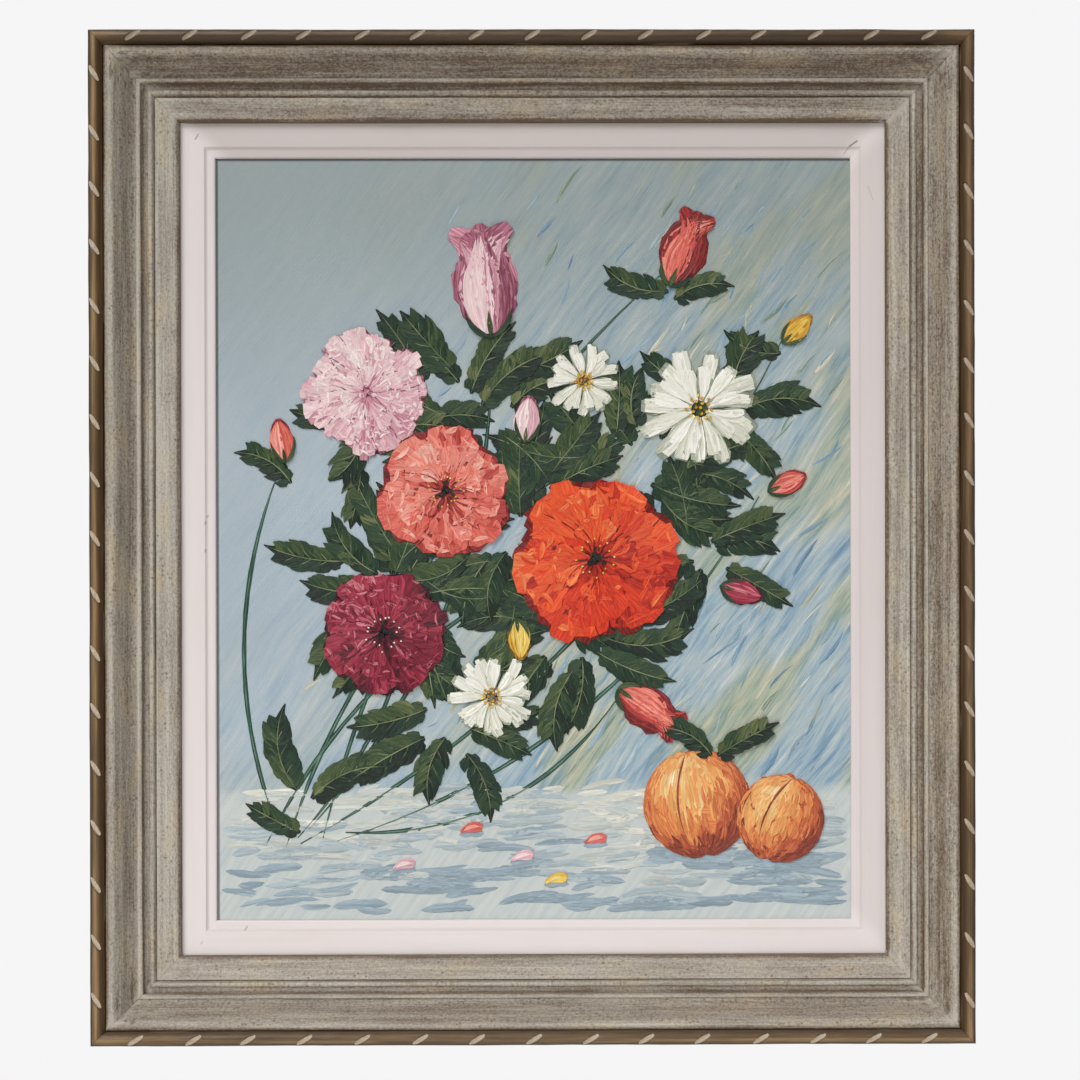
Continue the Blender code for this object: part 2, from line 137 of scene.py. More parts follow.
def tint(red, green, blue):
    """A colour as it is seen, 0 to 255, as the linear colour that a shader takes."""
    linear = [
        part / 12.92 if part <= 0.04045 else ((part + 0.055) / 1.055) ** 2.4
        for part in (red / 255, green / 255, blue / 255)
    ]
    return (*linear, 1.0)


class Wire:
    """A value on its way from one node to the next. It adds and multiplies like a number."""

    def __init__(self, tree, socket):
        self.tree = tree
        self.socket = socket

    def __add__(self, other):
        return self.tree.math("ADD", self, other)

    def __sub__(self, other):
        return self.tree.math("SUBTRACT", self, other)

    def __rsub__(self, other):
        return self.tree.math("SUBTRACT", other, self)

    def __mul__(self, other):
        return self.tree.math("MULTIPLY", self, other)

    def __truediv__(self, other):
        return self.tree.math("DIVIDE", self, other)

    def __gt__(self, other):
        return self.tree.math("GREATER_THAN", self, other)

    def __lt__(self, other):
        return self.tree.math("LESS_THAN", self, other)

    def __abs__(self):
        return self.tree.math("ABSOLUTE", self)

    def sister(self, name):
        """Another output of the node that this value comes from."""
        return Wire(self.tree, self.socket.node.outputs[name])


class Tree:
    """Places and links the nodes of one material or group, a step to a line."""

    def __init__(self, tree):
        self.tree = tree

    def feed(self, socket, value):
        if isinstance(value, Wire):
            self.tree.links.new(value.socket, socket)
        elif value is not None:
            socket.default_value = value

    def node(self, kind, inputs=None, out=0, **settings):
        made = self.tree.nodes.new("ShaderNode" + kind)
        for name, value in settings.items():
            setattr(made, name, value)
        for name, value in (inputs or {}).items():
            self.feed(made.inputs[name], value)
        return Wire(self, made.outputs[out])

    def parts(self, vector):
        """The three numbers of a vector."""
        x = self.node("SeparateXYZ", {0: vector})
        return x, x.sister("Y"), x.sister("Z")

    def vector(self, x, y, z):
        return self.node("CombineXYZ", {0: x, 1: y, 2: z})

    def math(self, operation, a, b=None, clamp=False):
        return self.node("Math", {0: a, 1: b}, operation=operation, use_clamp=clamp)

    def mix(self, share, a, b, blend="MIX"):
        return self.node(
            "Mix", {0: share, 6: a, 7: b}, 2, data_type="RGBA", blend_type=blend
        )

    def between(self, value, low, high, to_low=0.0, to_high=1.0):
        ends = {"Value": value, "From Min": low, "From Max": high}
        ends.update({"To Min": to_low, "To Max": to_high})
        return self.node("MapRange", ends, interpolation_type="SMOOTHSTEP")

    def ramp(self, value, stops, steps="LINEAR"):
        made = self.tree.nodes.new("ShaderNodeValToRGB")
        self.feed(made.inputs[0], value)
        made.color_ramp.interpolation = steps
        marks = made.color_ramp.elements
        while len(marks) < len(stops):
            marks.new(1.0)
        for mark, (place, colour) in zip(marks, stops):
            mark.position = place
            mark.color = colour if isinstance(colour, tuple) else (colour,) * 3 + (1,)
        return Wire(self, made.outputs[0])

    def scaled(self, vector, x, y, z=1.0):
        return self.node("VectorMath", {0: vector, 1: (x, y, z)}, operation="MULTIPLY")

    def noise(self, vector, scale=1.0, detail=2.0, rough=0.5, distortion=0.0):
        inputs = {"Vector": vector, "Scale": scale, "Detail": detail}
        inputs.update({"Roughness": rough, "Distortion": distortion})
        return self.node("TexNoise", inputs)

    def attribute(self, name, out="Fac"):
        return self.node("Attribute", out=out, attribute_name=name)

    def group(self, tree, inputs):
        made = self.tree.nodes.new("ShaderNodeGroup")
        made.node_tree = tree
        for name, value in inputs.items():
            self.feed(made.inputs[name], value)
        return {socket.name: Wire(self, socket) for socket in made.outputs}

    def bump(self, height, distance, strength):
        return self.node("Bump", {"Height": height, "Distance": distance, "Strength": strength})

    def surface(self, shader, colour, rough, relief, deep, strength):
        """Feeds a finish's colour, roughness and fine relief to its shader."""
        self.feed(shader["Base Color"], colour)
        self.feed(shader["Roughness"], rough)
        self.feed(shader["Normal"], self.bump(relief, deep, strength))

    def streaks(self, place, length, width):
        return self.group(STREAKS, {"Place": place, "Length": length, "Width": width})

    def pits(self, place, length, width, amount):
        inputs = {"Place": place, "Length": length, "Width": width, "Amount": amount}
        return self.group(PITS, inputs)["Mask"]

    def weave(self, place):
        return self.group(WEAVE, {"Place": place, "Threads": LINEN_THREADS})["Height"]

    def dusted(self, colour, place, amount, grey):
        """The colour under a bloom of settled dust."""
        bloom = self.group(DUST, {"Place": place, "Amount": amount})["Mask"]
        return self.mix(bloom, colour, grey)


def shared_group(name, inputs, outputs, build):
    """A shader node group: build(tree, ins) returns a value for each output."""
    group = bpy.data.node_groups.new(name, "ShaderNodeTree")
    for socket, start in inputs:
        kind = "NodeSocketVector" if start == "vector" else "NodeSocketFloat"
        made = group.interface.new_socket(name=socket, in_out="INPUT", socket_type=kind)
        if start != "vector":
            made.default_value = start
    for socket in outputs:
        group.interface.new_socket(name=socket, in_out="OUTPUT", socket_type="NodeSocketFloat")
    tree = Tree(group)
    given = group.nodes.new("NodeGroupInput").outputs
    ins = {socket.name: Wire(tree, socket) for socket in given}
    outs = group.nodes.new("NodeGroupOutput").inputs
    for socket, value in zip(outputs, build(tree, ins)):
        tree.feed(outs[socket], value)
    return group


def in_marks(tree, ins):
    """The place, measured in the marks' own length and width."""
    x, y, z = tree.parts(ins["Place"])
    return tree.vector(x / ins["Length"], y / ins["Width"], z)


def streaks(tree, ins):
    """Long thin lines such as a dragged brush or the grain of wood leaves."""
    thin = in_marks(tree, ins)
    fine = tree.noise(thin, 1.0, 3.0, 0.6)
    broad = tree.noise(tree.scaled(thin, 0.4, 0.22), 1.0, 2.0, 0.5)
    return fine, broad


def pits(tree, ins):
    """Small round holes and flecks of many sizes, gathered in patches."""
    spots = in_marks(tree, ins)
    blur = tree.noise(tree.scaled(spots, 1.3, 1.3), 1.0, 1.0)
    distance = tree.node("TexVoronoi", {"Vector": spots, "Scale": 1.0}, "Distance")
    chance = tree.parts(distance.sister("Color"))[0]
    patch = tree.noise(tree.scaled(spots, 0.08, 0.22), 1.0, 2.0, 0.5)
    much = ins["Amount"] * tree.between(patch, 0.34, 0.62, 0.35, 1.5)
    radius = tree.math("MINIMUM", (much - chance) * 0.95, 0.52)
    reach = distance + (blur - 0.5) * 0.5
    return (tree.math("MULTIPLY", radius - reach, 2.6, clamp=True),)


def weave(tree, ins):
    """Over-and-under threads of plain linen, with slubs."""
    split = tree.parts(ins["Place"])
    wobble = tree.noise(ins["Place"], 90.0, 2.0)
    threads = []
    for axis in (0, 2):
        turn = split[axis] * ins["Threads"] + wobble * 1.5
        threads.append(tree.math("SINE", turn * math.pi))
    over = threads[0] * threads[1]
    ribs = abs(threads[0]) + abs(threads[1])
    return (over * 0.5 + ribs * 0.35,)


def dust(tree, ins):
    """Fine grey bloom that settles on what faces up."""
    facing = tree.parts(tree.node("NewGeometry", out="Normal"))[2]
    soft = tree.noise(ins["Place"], 60.0, 3.0)
    return (tree.between(facing, 0.1, 1.0) * soft * ins["Amount"],)


STREAKS = shared_group(
    "long_streaks", [("Place", "vector"), ("Length", 0.06), ("Width", 0.0006)],
    ["Fine", "Broad"], streaks,
)
PITS = shared_group(
    "small_pits",
    [("Place", "vector"), ("Length", 0.002), ("Width", 0.0007), ("Amount", 0.5)],
    ["Mask"], pits,
)
WEAVE = shared_group("linen_weave", [("Place", "vector"), ("Threads", 1500.0)], ["Height"], weave)
DUST = shared_group("settled_dust", [("Place", "vector"), ("Amount", 0.3)], ["Mask"], dust)


def material(name):
    made = bpy.data.materials.new(name)
    made.use_nodes = True
    shader = made.node_tree.nodes["Principled BSDF"]
    return made, Tree(made.node_tree), shader.inputs


# How much wash is left on each part of the moulding's face, from the outer edge in,
# and how much of it is specked with small dark holes
WASH_LEFT = (
    (0.0, 0.0), (SHOULDER_AT, 0.06), (SHOULDER_AT + 0.0012, 0.30), (SHOULDER_AT + 0.0024, 0.56),
    (SHOULDER_AT + 0.0034, 0.76), (COVE_AT, 0.74), (COVE_AT + 0.0028, 0.48),
    (COVE_AT + 0.0090, 0.45), (RIDGE_AT - 0.0020, 0.49), (RIDGE_AT - 0.0003, 0.60),
    (RIDGE_AT + 0.0006, 0.90), (RIDGE_AT + 0.0018, 0.86), (HOLLOW_AT - 0.0006, 0.54),
    (HOLLOW_AT + 0.0003, 0.18), (HOLLOW_AT + 0.0010, 0.24), (HOLLOW_AT + 0.0020, 0.46),
    (SMALL_BEAD_AT - 0.0004, 0.46), (SMALL_BEAD_AT + 0.0009, 0.78), (GROOVE_AT - 0.0008, 0.84),
    (GROOVE_AT + 0.0002, 0.50), (GROOVE_AT + 0.0008, 0.40), (BAND_AT + 0.0002, 0.84),
    (BAND_AT + 0.0012, 0.86), (BAND_AT + 0.0030, 0.74), (LIP_AT - 0.0010, 0.72),
    (LIP_AT + 0.0008, 0.62), (LIP_AT + 0.0019, 0.24), (MOULDING_FACE, 0.06),
)
SPECKED = (
    (0.0, 0.0), (SHOULDER_AT + 0.0010, 0.20), (COVE_AT, 0.50), (COVE_AT + 0.0030, 0.62),
    (COVE_AT + 0.0070, 0.50), (RIDGE_AT - 0.0030, 0.84), (RIDGE_AT - 0.0008, 0.76),
    (RIDGE_AT + 0.0010, 0.20), (HOLLOW_AT + 0.0010, 0.50), (SMALL_BEAD_AT, 0.60),
    (GROOVE_AT, 0.30), (BAND_AT + 0.0020, 0.56), (LIP_AT - 0.0020, 0.46), (MOULDING_FACE, 0.3),
)
# Painted shade: each rail's wash is shifted as the light falls on its side, darkest on the top rail
PAINTED_SIDE_SHADE = {"bottom": -0.07, "right": -0.11, "top": -0.25, "left": 0.03}
# and the liner carries painted shade, heaviest along its top and then its right side
LINER_SIDE_SHADE = {"bottom": 0.05, "right": 0.32, "top": 0.62, "left": 0.0}


def limed_wood():
    """Grey-beige wash dragged over brown wood, a bronze bead and cream nicks."""
    made, tree, shader = material("limed_wood")
    place = tree.attribute("lay", "Vector")
    inset, depth, mitre = tree.parts(tree.attribute("section", "Vector"))
    uneven = tree.noise(tree.scaled(place, 60, 400), 1.0, 2.0)
    across_face = inset / MOULDING_FACE + (uneven - 0.5) * 0.01

    def by_inset(stops):
        """A value or colour that changes from the rail's outer edge inwards."""
        return tree.ramp(across_face, [(at / MOULDING_FACE, value) for at, value in stops])

    def step(start, end):
        """Rises from 0 to 1 between two distances from the rail's outer edge."""
        return tree.between(across_face, start / MOULDING_FACE, end / MOULDING_FACE)

    # painted shade: the wash darker or lighter on each rail as the light falls there, fading out at the
    # mitres
    from_mitre = tree.between(mitre, 0.0, 0.030)
    side_wash = tree.attribute("side_wash") * from_mitre

    lines = tree.streaks(place, 0.050, 0.0010)
    hair = tree.streaks(place, 0.014, 0.0005)
    patches = tree.noise(tree.scaled(place, 22, 60), 1.0, 3.0)
    mottle = tree.noise(tree.scaled(place, 420, 620), 1.0, 2.0, 0.6)
    crumb = tree.noise(tree.scaled(place, 900, 1150), 1.0, 2.0, 0.6)
    stay = by_inset(WASH_LEFT)
    specked = by_inset(SPECKED)
    amount = specked + (patches - 0.5) * 0.5
    hole = tree.pits(place, 0.0027, 0.0021, amount)

    wash = stay + side_wash
    for marks, strength in (
        (lines["Fine"], 0.64), (lines["Broad"], 0.66), (hair["Fine"], 0.50),
        (patches, 0.60), (mottle, 0.95), (crumb, 0.95),
    ):
        wash = wash + (marks - 0.5) * strength

    # marks left across the small bead by a chattering tool
    chatter = tree.noise(tree.scaled(place, 560, 120), 1.0, 1.0)
    from_bead = step(SMALL_BEAD_AT - 0.0006, SMALL_BEAD_AT + 0.0004)
    to_groove = step(GROOVE_AT + 0.0006, GROOVE_AT - 0.0002)
    chatter = tree.between(chatter, 0.48, 0.66) * (from_bead * to_groove)
    chatter = chatter * tree.between(patches, 0.35, 0.6)
    wash = tree.math("SUBTRACT", wash, chatter * 0.28, clamp=True)

    brown = tree.mix(lines["Fine"], tint(78, 60, 42), tint(108, 86, 62))
    grey = tree.mix(lines["Broad"], tint(175, 167, 154), tint(197, 190, 178))
    aged = tree.between(patches, 0.48, 0.72, 0.0, 0.5)
    grey = tree.mix(aged, grey, tint(188, 168, 130))
    colour = tree.mix(wash, brown, grey)
    colour = tree.mix(hole * 0.62, colour, tint(84, 68, 50))

    # bronze bead: painted shade at its outer edge, a painted highlight along its middle, and a side
    # towards the valley that is partly dark brown paint and partly painted shade; the valley is painted
    # lighter against the shade that falls in it
    bead_tone_and_shade = by_inset([
        (0.0, tint(40, 28, 18)), (0.0014, tint(52, 38, 24)),
        (0.0026, tint(130, 104, 70)), (0.0048, tint(158, 128, 88)),
        (0.0060, tint(128, 98, 58)), (0.0074, tint(90, 65, 32)),
        (0.0088, tint(84, 56, 22)), (BEAD_WIDTH, tint(122, 96, 64)),
        (MOULDING_FACE, tint(128, 106, 80)),
    ])
    worn = tree.between(hair["Broad"], 0.35, 0.75)
    bronze = tree.mix(worn * 0.55, bead_tone_and_shade, tint(74, 52, 28))
    rubbed = tree.between(lines["Fine"], 0.56, 0.78, 0.0, 0.30)
    bronze = tree.mix(rubbed, bronze, tint(172, 146, 112))
    stained = tree.between(lines["Broad"], 0.56, 0.42, 0.0, 0.5)
    bronze = tree.mix(stained, bronze, tint(66, 46, 24))
    # painted shade: the bead darker on the shaded rails, most on the top
    darker = tree.math("MULTIPLY", side_wash, -2.9, clamp=True)
    bronze = tree.mix(darker, bronze, tint(52, 38, 22))
    on_bead = step(SHOULDER_AT + 0.0003, SHOULDER_AT - 0.0003)
    in_valley = on_bead * step(BEAD_WIDTH - 0.0002, BEAD_WIDTH + 0.0003)
    spilt = in_valley * tree.between(patches, 0.55, 0.66)
    bronze = tree.mix(spilt, bronze, tint(150, 136, 116))
    colour = tree.mix(on_bead, colour, bronze)

    # cream nicks, with a painted shadow beside them on one side and painted shade on that wall of the
    # nick
    nick = tree.parts(tree.attribute("nick", "Vector"))
    off = nick[0] + (mottle - 0.5) * 0.0011
    from_rim = nick[1] * NICK_HALF - abs(off)
    inside = tree.between(from_rim, -0.00025, 0.00025) * (nick[1] > 0.02)
    cream = tree.mix(mottle, tint(152, 133, 109), tint(210, 195, 172))
    # painted shade on one wall of the nick
    cream = tree.mix(tree.between(off, 0.0013, 0.0024, 0.0, 0.6), cream, tint(116, 92, 68))
    # painted shade: the nicks duller on the shaded rails
    dulled = tree.math("MULTIPLY", tree.attribute("side_wash"), -2.2, clamp=True)
    cream = tree.mix(dulled, cream, tint(120, 100, 78))
    # painted shadow beside the nick
    beside = tree.between(from_rim, -0.0016, -0.0002) * (nick[1] > 0.02) * (off > 0.0)
    colour = tree.mix(beside * 0.75, colour, tint(42, 30, 20))
    colour = tree.mix(inside, colour, cream)

    # a broken dark line and old dirt at the mitres
    open_joint = tree.between(mitre, 0.0005, 0.0001) * tree.between(patches, 0.44, 0.6)
    by_mitre = tree.between(mitre, 0.002, 0.005) * tree.between(mitre, 0.026, 0.014)
    in_cove = (inset > COVE_AT) * (inset < RIDGE_AT)
    near_mitre = by_mitre * (in_cove * 0.7 + 0.3)
    blots = tree.noise(tree.scaled(place, 120, 260), 1.0, 2.0, 0.6)
    at_mitre = tree.between(mitre, 0.008, 0.001) * (inset > SHOULDER_AT)
    smear = at_mitre * tree.between(blots, 0.46, 0.58)
    grime = near_mitre * tree.between(blots, 0.47, 0.38)
    colour = tree.mix(smear * 0.75, colour, tint(180, 170, 156))
    grime = grime * (inset > SHOULDER_AT)
    colour = tree.mix(grime * 0.6, colour, tint(80, 66, 50))
    colour = tree.mix(open_joint * 0.55, colour, tint(58, 46, 34))

    # raw brown wood on the sides and back
    raw = tree.mix(lines["Fine"], tint(98, 70, 44), tint(162, 128, 90))
    raw = tree.mix(hair["Fine"] * 0.5, raw, tint(88, 64, 42))
    covered = tree.between(depth, 0.037, 0.0425)
    side = (inset < 0.004) * (1.0 - covered)
    back = depth < RABBET_DEPTH - 0.0002
    colour = tree.mix(tree.math("MAXIMUM", side, back), colour, raw)
    colour = tree.dusted(colour, place, 0.18, tint(184, 176, 164))

    shine = on_bead * (0.22 - inside * 0.22)
    tree.feed(shader["Metallic"], shine * covered)
    rough = wash * 0.12 + 0.58 - on_bead * 0.12
    relief = lines["Fine"] * 0.5 + hair["Fine"] * 0.35 + mottle * 0.3
    relief = relief - hole * 0.55 - chatter * 0.35
    tree.surface(shader, colour, rough, relief, 0.0004, 0.7)
    return made


def scratch(tree, face, start, end, width):
    """A short mark on the face, from and to a place given by its x and z."""
    start, end = Vector((start[0], 0, start[1])), Vector((end[0], 0, end[1]))
    run = end - start
    off = tree.node("VectorMath", {0: face, 1: start}, operation="SUBTRACT")
    unit = run / run.length_squared
    share = tree.node("VectorMath", {0: off, 1: unit}, 1, operation="DOT_PRODUCT")
    share = tree.math("MINIMUM", tree.math("MAXIMUM", share, 0.0), 1.0)
    nearest = tree.node("VectorMath", {0: run, "Scale": share}, operation="SCALE")
    away = tree.node("VectorMath", {0: off, 1: nearest}, 1, operation="DISTANCE")
    return tree.between(away, width, width * 0.3)


def liner_marks():
    """A crack at the top right mitre, and small scuffs and chips: start, end, width,
    strength and colour."""
    right, top = SIGHT_WIDTH / 2, CENTRE.z + SIGHT_HEIGHT / 2
    left, bottom = -right, CENTRE.z - SIGHT_HEIGHT / 2
    dark, brown, grey = tint(96, 76, 62), tint(188, 164, 150), tint(150, 134, 132)
    return (
        ((right - 0.0046, top + 0.0025), (right - 0.0008, top + 0.0076), 0.0006, 0.35, dark),
        ((right - 0.0008, top + 0.0076), (right + 0.0046, top + 0.0114), 0.0008, 0.75, dark),
        ((right + 0.0122, top - 0.0202), (right + 0.0159, top - 0.0302), 0.0006, 0.5, brown),
        ((left - 0.0135, top + 0.0129), (left - 0.0114, top + 0.0164), 0.0008, 0.7, grey),
        ((left - 0.0056, CENTRE.z + 0.0168), (left - 0.0060, CENTRE.z + 0.0160), 0.0012, 0.5, grey),
        ((left - 0.0069, CENTRE.z + 0.0126), (left - 0.0071, CENTRE.z + 0.0108), 0.0009, 0.6, grey),
        ((left - 0.0071, CENTRE.z - 0.0070), (left - 0.0071, CENTRE.z - 0.0086), 0.0009, 0.6, grey),
        ((left + 0.0215, bottom - 0.0042), (left + 0.0202, bottom - 0.0065), 0.0009, 0.6, grey),
        ((left - 0.0100, bottom - 0.0148), (left - 0.0107, bottom - 0.0160), 0.0011, 0.3, grey),
    )


def white_liner_paint():
    """Warm white satin paint, a little brushed, scuffed and yellowed."""
    made, tree, shader = material("white_liner_paint")
    place = tree.attribute("lay", "Vector")
    section = tree.parts(tree.attribute("section", "Vector"))
    brushed = tree.streaks(place, 0.05, 0.0012)
    cloud = tree.noise(tree.scaled(place, 14, 50), 1.0, 3.0)
    colour = tree.mix(brushed["Broad"], tint(221, 210, 207), tint(229, 220, 218))
    colour = tree.mix(tree.between(cloud, 0.5, 0.75, 0.0, 0.35), colour, tint(218, 206, 198))
    speck = tree.pits(place, 0.0012, 0.0009, 0.02)
    colour = tree.mix(speck * 0.3, colour, tint(150, 132, 112))
    past_step = section[0] - (LINER_SECTION - LINER_FACE + LINER_STEP_AT)
    # painted shade in the liner's step
    step_shade = tree.between(past_step, -0.0014, 0.0) * tree.between(past_step, 0.002, 0.0006)
    colour = tree.mix(step_shade * 0.32, colour, tint(186, 170, 166))
    # painted shade: the liner greyer on its shaded rails, most on the top, fading out at the mitres
    greyed = tree.attribute("greyed") * tree.between(section[2], -0.002, 0.016)
    colour = tree.mix(greyed, colour, tint(186, 174, 170))
    ragged = (tree.noise(place, 900.0, 1.0) - 0.5) * 0.0006
    face = tree.scaled(tree.node("TexCoord", out="Object"), 1, 0, 1)
    face = tree.node("VectorMath", {0: face, 1: ragged}, operation="ADD")
    front = section[1] > LINER_LEDGE
    for start, end, width, strength, stain in liner_marks():
        mark = scratch(tree, face, start, end, width) * front
        colour = tree.mix(mark * strength, colour, stain)
    raw = tree.mix(brushed["Fine"], tint(176, 146, 104), tint(206, 180, 138))
    back = section[1] < LINER_LEDGE - 0.0004
    colour = tree.mix(back, colour, raw)
    relief = brushed["Fine"] + speck * -0.4
    tree.surface(shader, colour, cloud * 0.2 + 0.36, relief, 0.00008, 0.5)
    return made


def painted_ground():
    """Blue-grey ground scumbled in slanting strokes, over the cloth's weave."""
    made, tree, shader = material("painted_ground")
    place = tree.node("TexCoord", out="Object")
    turned = tree.node(
        "Mapping", {"Vector": place, "Rotation": (0, math.radians(-54), 0)},
        vector_type="TEXTURE",
    )
    slant = tree.parts(turned)
    wander = (tree.noise(place, 6.0, 2.0) - 0.5) * 0.028
    lay = tree.vector(slant[0], slant[2] + wander, 0.0)
    broad_marks = tree.streaks(lay, 0.075, 0.011)
    long_marks = tree.streaks(lay, 0.040, 0.0040)
    bristle = tree.streaks(lay, 0.022, 0.0010)
    cloud = tree.noise(place, 6.0, 3.0)
    fall = tree.parts(place)
    rightward = tree.between(fall[0], -0.20, 0.14)
    low = tree.between(fall[2], CENTRE.z + 0.02, CENTRE.z - 0.24)
    busy = tree.math("ADD", rightward * 0.8 + low * 0.45, 0.12, clamp=True)

    marks = long_marks["Fine"] * 0.55 + broad_marks["Fine"] * 0.45
    marks = marks + (bristle["Fine"] - 0.5) * 0.26
    # the ground darker and greener towards the top: partly the picture's own colour, partly painted
    # shade
    high = tree.between(fall[2], CENTRE.z + 0.04, CENTRE.z + 0.26, 0.0, 0.65)
    calm = tree.mix(cloud, tint(154, 168, 178), tint(186, 198, 206))
    blues = tree.ramp(marks, [
        (0.30, tint(98, 130, 158)), (0.40, tint(126, 154, 174)), (0.48, tint(154, 175, 185)),
        (0.56, tint(172, 184, 186)), (0.64, tint(192, 201, 200)), (0.74, tint(214, 219, 214)),
    ])
    earths = tree.ramp(marks, [
        (0.30, tint(102, 134, 126)), (0.40, tint(132, 152, 136)), (0.50, tint(166, 174, 152)),
        (0.58, tint(188, 184, 158)), (0.68, tint(212, 206, 182)), (0.78, tint(222, 220, 204)),
    ])
    hue = tree.between(tree.noise(tree.scaled(lay, 7, 17), 1.0, 2.0), 0.46, 0.60)
    colour = tree.mix(hue * (busy * 0.75 + 0.2), blues, earths)
    colour = tree.mix(busy, calm, colour)
    colour = tree.mix(high, colour, tint(132, 142, 136))
    stone = tree.mix(long_marks["Fine"], tint(162, 177, 184), tint(216, 216, 206))
    colour = tree.mix(tree.attribute("ledge"), colour, stone)

    # painted shadow of the liner's edge on the paint, at the top and on the left
    left_rim, top_rim = -SIGHT_WIDTH / 2, CENTRE.z + SIGHT_HEIGHT / 2
    beside = tree.between(fall[0], left_rim + 0.0021, left_rim + 0.0013)
    under = tree.between(fall[2], top_rim - 0.0021, top_rim - 0.0013)
    colour = tree.mix(tree.math("MAXIMUM", beside, under) * 0.8, colour, tint(74, 74, 74))
    threads = tree.weave(place)
    height = threads * 0.3 + bristle["Fine"] + marks * 0.8
    tree.surface(shader, colour, bristle["Fine"] * 0.2 + 0.42, height, 0.00045, 0.7)
    return made


def thick_paint():
    """Oil colour laid with a knife: two colours streaked together along each touch."""
    made, tree, shader = material("thick_paint")
    first = tree.attribute("paint", "Color")
    second = tree.attribute("under_paint", "Color")
    place = tree.attribute("touch", "Vector")
    drawn = tree.streaks(place, 0.018, 0.0013)
    hair = tree.streaks(place, 0.008, 0.0005)
    blend = tree.between(drawn["Fine"], 0.40, 0.62)
    colour = tree.mix(blend, first, second)
    shade = tree.mix(drawn["Broad"], (0.62, 0.62, 0.62, 1), (1.25, 1.25, 1.25, 1))
    colour = tree.mix(0.7, colour, shade, "MULTIPLY")
    colour = tree.mix(tree.between(hair["Fine"], 0.5, 0.9, 0.0, 0.10), colour, tint(238, 230, 216))
    height = drawn["Fine"] + hair["Fine"] * 0.6
    tree.surface(shader, colour, hair["Broad"] * 0.2 + 0.36, height, 0.0008, 0.85)
    shader["Specular IOR Level"].default_value = 0.32
    return made


def raw_linen():
    made, tree, shader = material("raw_linen")
    place = tree.node("TexCoord", out="Object")
    threads = tree.weave(place)
    slub = tree.noise(tree.scaled(place, 40, 40, 400), 1.0, 3.0)
    stain = tree.noise(place, 9.0, 3.0)
    colour = tree.mix(threads, tint(148, 128, 98), tint(196, 178, 146))
    colour = tree.mix(slub * 0.4, colour, tint(170, 150, 118))
    colour = tree.mix(tree.between(stain, 0.5, 0.8, 0.0, 0.4), colour, tint(128, 104, 76))
    colour = tree.dusted(colour, place, 0.3, tint(150, 142, 130))
    tree.surface(shader, colour, tree.between(slub, 0.2, 0.8, 0.82, 0.95), threads, 0.00025, 0.9)
    return made


def planed_wood(name, upright, pale, dark, length=0.09, width=0.0016):
    """Plain wood with its grain along the piece, which stands upright or lies level."""
    made, tree, shader = material(name)
    place = tree.node("TexCoord", out="Object")
    split = tree.parts(place)
    along, beside = (split[2], split[0]) if upright else (split[0], split[2])
    beside = beside + split[1] * 0.8
    lay = tree.vector(along, beside, split[1] * 9.0)
    grain = tree.streaks(lay, length, width)
    pores = tree.pits(lay, 0.006, 0.0004, 0.3)
    colour = tree.mix(tree.between(grain["Fine"], 0.3, 0.72), pale, dark)
    colour = tree.mix(pores * 0.4, colour, tint(104, 76, 46))
    aged = tree.noise(place, 12.0, 3.0)
    colour = tree.mix(tree.between(aged, 0.45, 0.8, 0.0, 0.35), colour, tint(148, 118, 82))
    colour = tree.dusted(colour, place, 0.35, tint(176, 168, 156))
    height = grain["Fine"] - pores * 0.4
    rough = tree.between(grain["Broad"], 0.2, 0.8, 0.6, 0.78)
    tree.surface(shader, colour, rough, height, 0.0002, 0.6)
    return made


def dull_steel():
    made, tree, shader = material("dull_steel")
    place = tree.node("TexCoord", out="Object")
    split = tree.parts(place)
    lay = tree.vector(split[0], split[2], split[1])
    drawn = tree.streaks(lay, 0.02, 0.0002)
    spots = tree.pits(lay, 0.0012, 0.0010, 0.3)
    colour = tree.mix(drawn["Fine"], tint(168, 166, 160), tint(206, 203, 196))
    colour = tree.mix(spots * 0.7, colour, tint(118, 88, 62))
    tree.feed(shader["Metallic"], 1.0 - spots * 0.7)
    rough = tree.between(drawn["Fine"], 0.2, 0.8, 0.32, 0.52)
    tree.surface(shader, colour, rough, drawn["Fine"], 0.00004, 0.5)
    return made


LIMED_WOOD = limed_wood()
LINER_PAINT = white_liner_paint()
PAINTED_GROUND = painted_ground()
THICK_PAINT = thick_paint()
RAW_LINEN = raw_linen()
PINE_PALE, PINE_DARK = tint(206, 170, 118), tint(168, 128, 80)
KEY_PALE, KEY_DARK = tint(176, 136, 92), tint(134, 98, 62)
STEEL = dull_steel()


# Meshes


def hills(seed, x, y):
    """Smooth random hills from -1 to 1, one unit apart each way."""
    lattice = np.random.default_rng(seed).uniform(-1, 1, (97, 89))
    x, y = np.broadcast_arrays(x, y)
    low_x, low_y = np.floor(x).astype(int), np.floor(y).astype(int)
    part_x, part_y = x - low_x, y - low_y
    part_x = part_x * part_x * (3 - 2 * part_x)
    part_y = part_y * part_y * (3 - 2 * part_y)

    def corner(step_x, step_y):
        return lattice[(low_x + step_x) % 97, (low_y + step_y) % 89]

    near = corner(0, 0) * (1 - part_x) + corner(1, 0) * part_x
    far = corner(0, 1) * (1 - part_x) + corner(1, 1) * part_x
    return near * (1 - part_y) + far * part_y


def arc(centre, radius, start, end, steps):
    """Points round a centre, angles in degrees, both ends included."""
    turns = np.radians(np.linspace(start, end, steps + 1))
    return [(centre[0] + radius * math.cos(t), centre[1] + radius * math.sin(t)) for t in turns]


# Blender's kind and field for a per-point value of one, three or four numbers
VALUE_KINDS = {1: ("FLOAT", "value"), 3: ("FLOAT_VECTOR", "vector"), 4: ("FLOAT_COLOR", "color")}


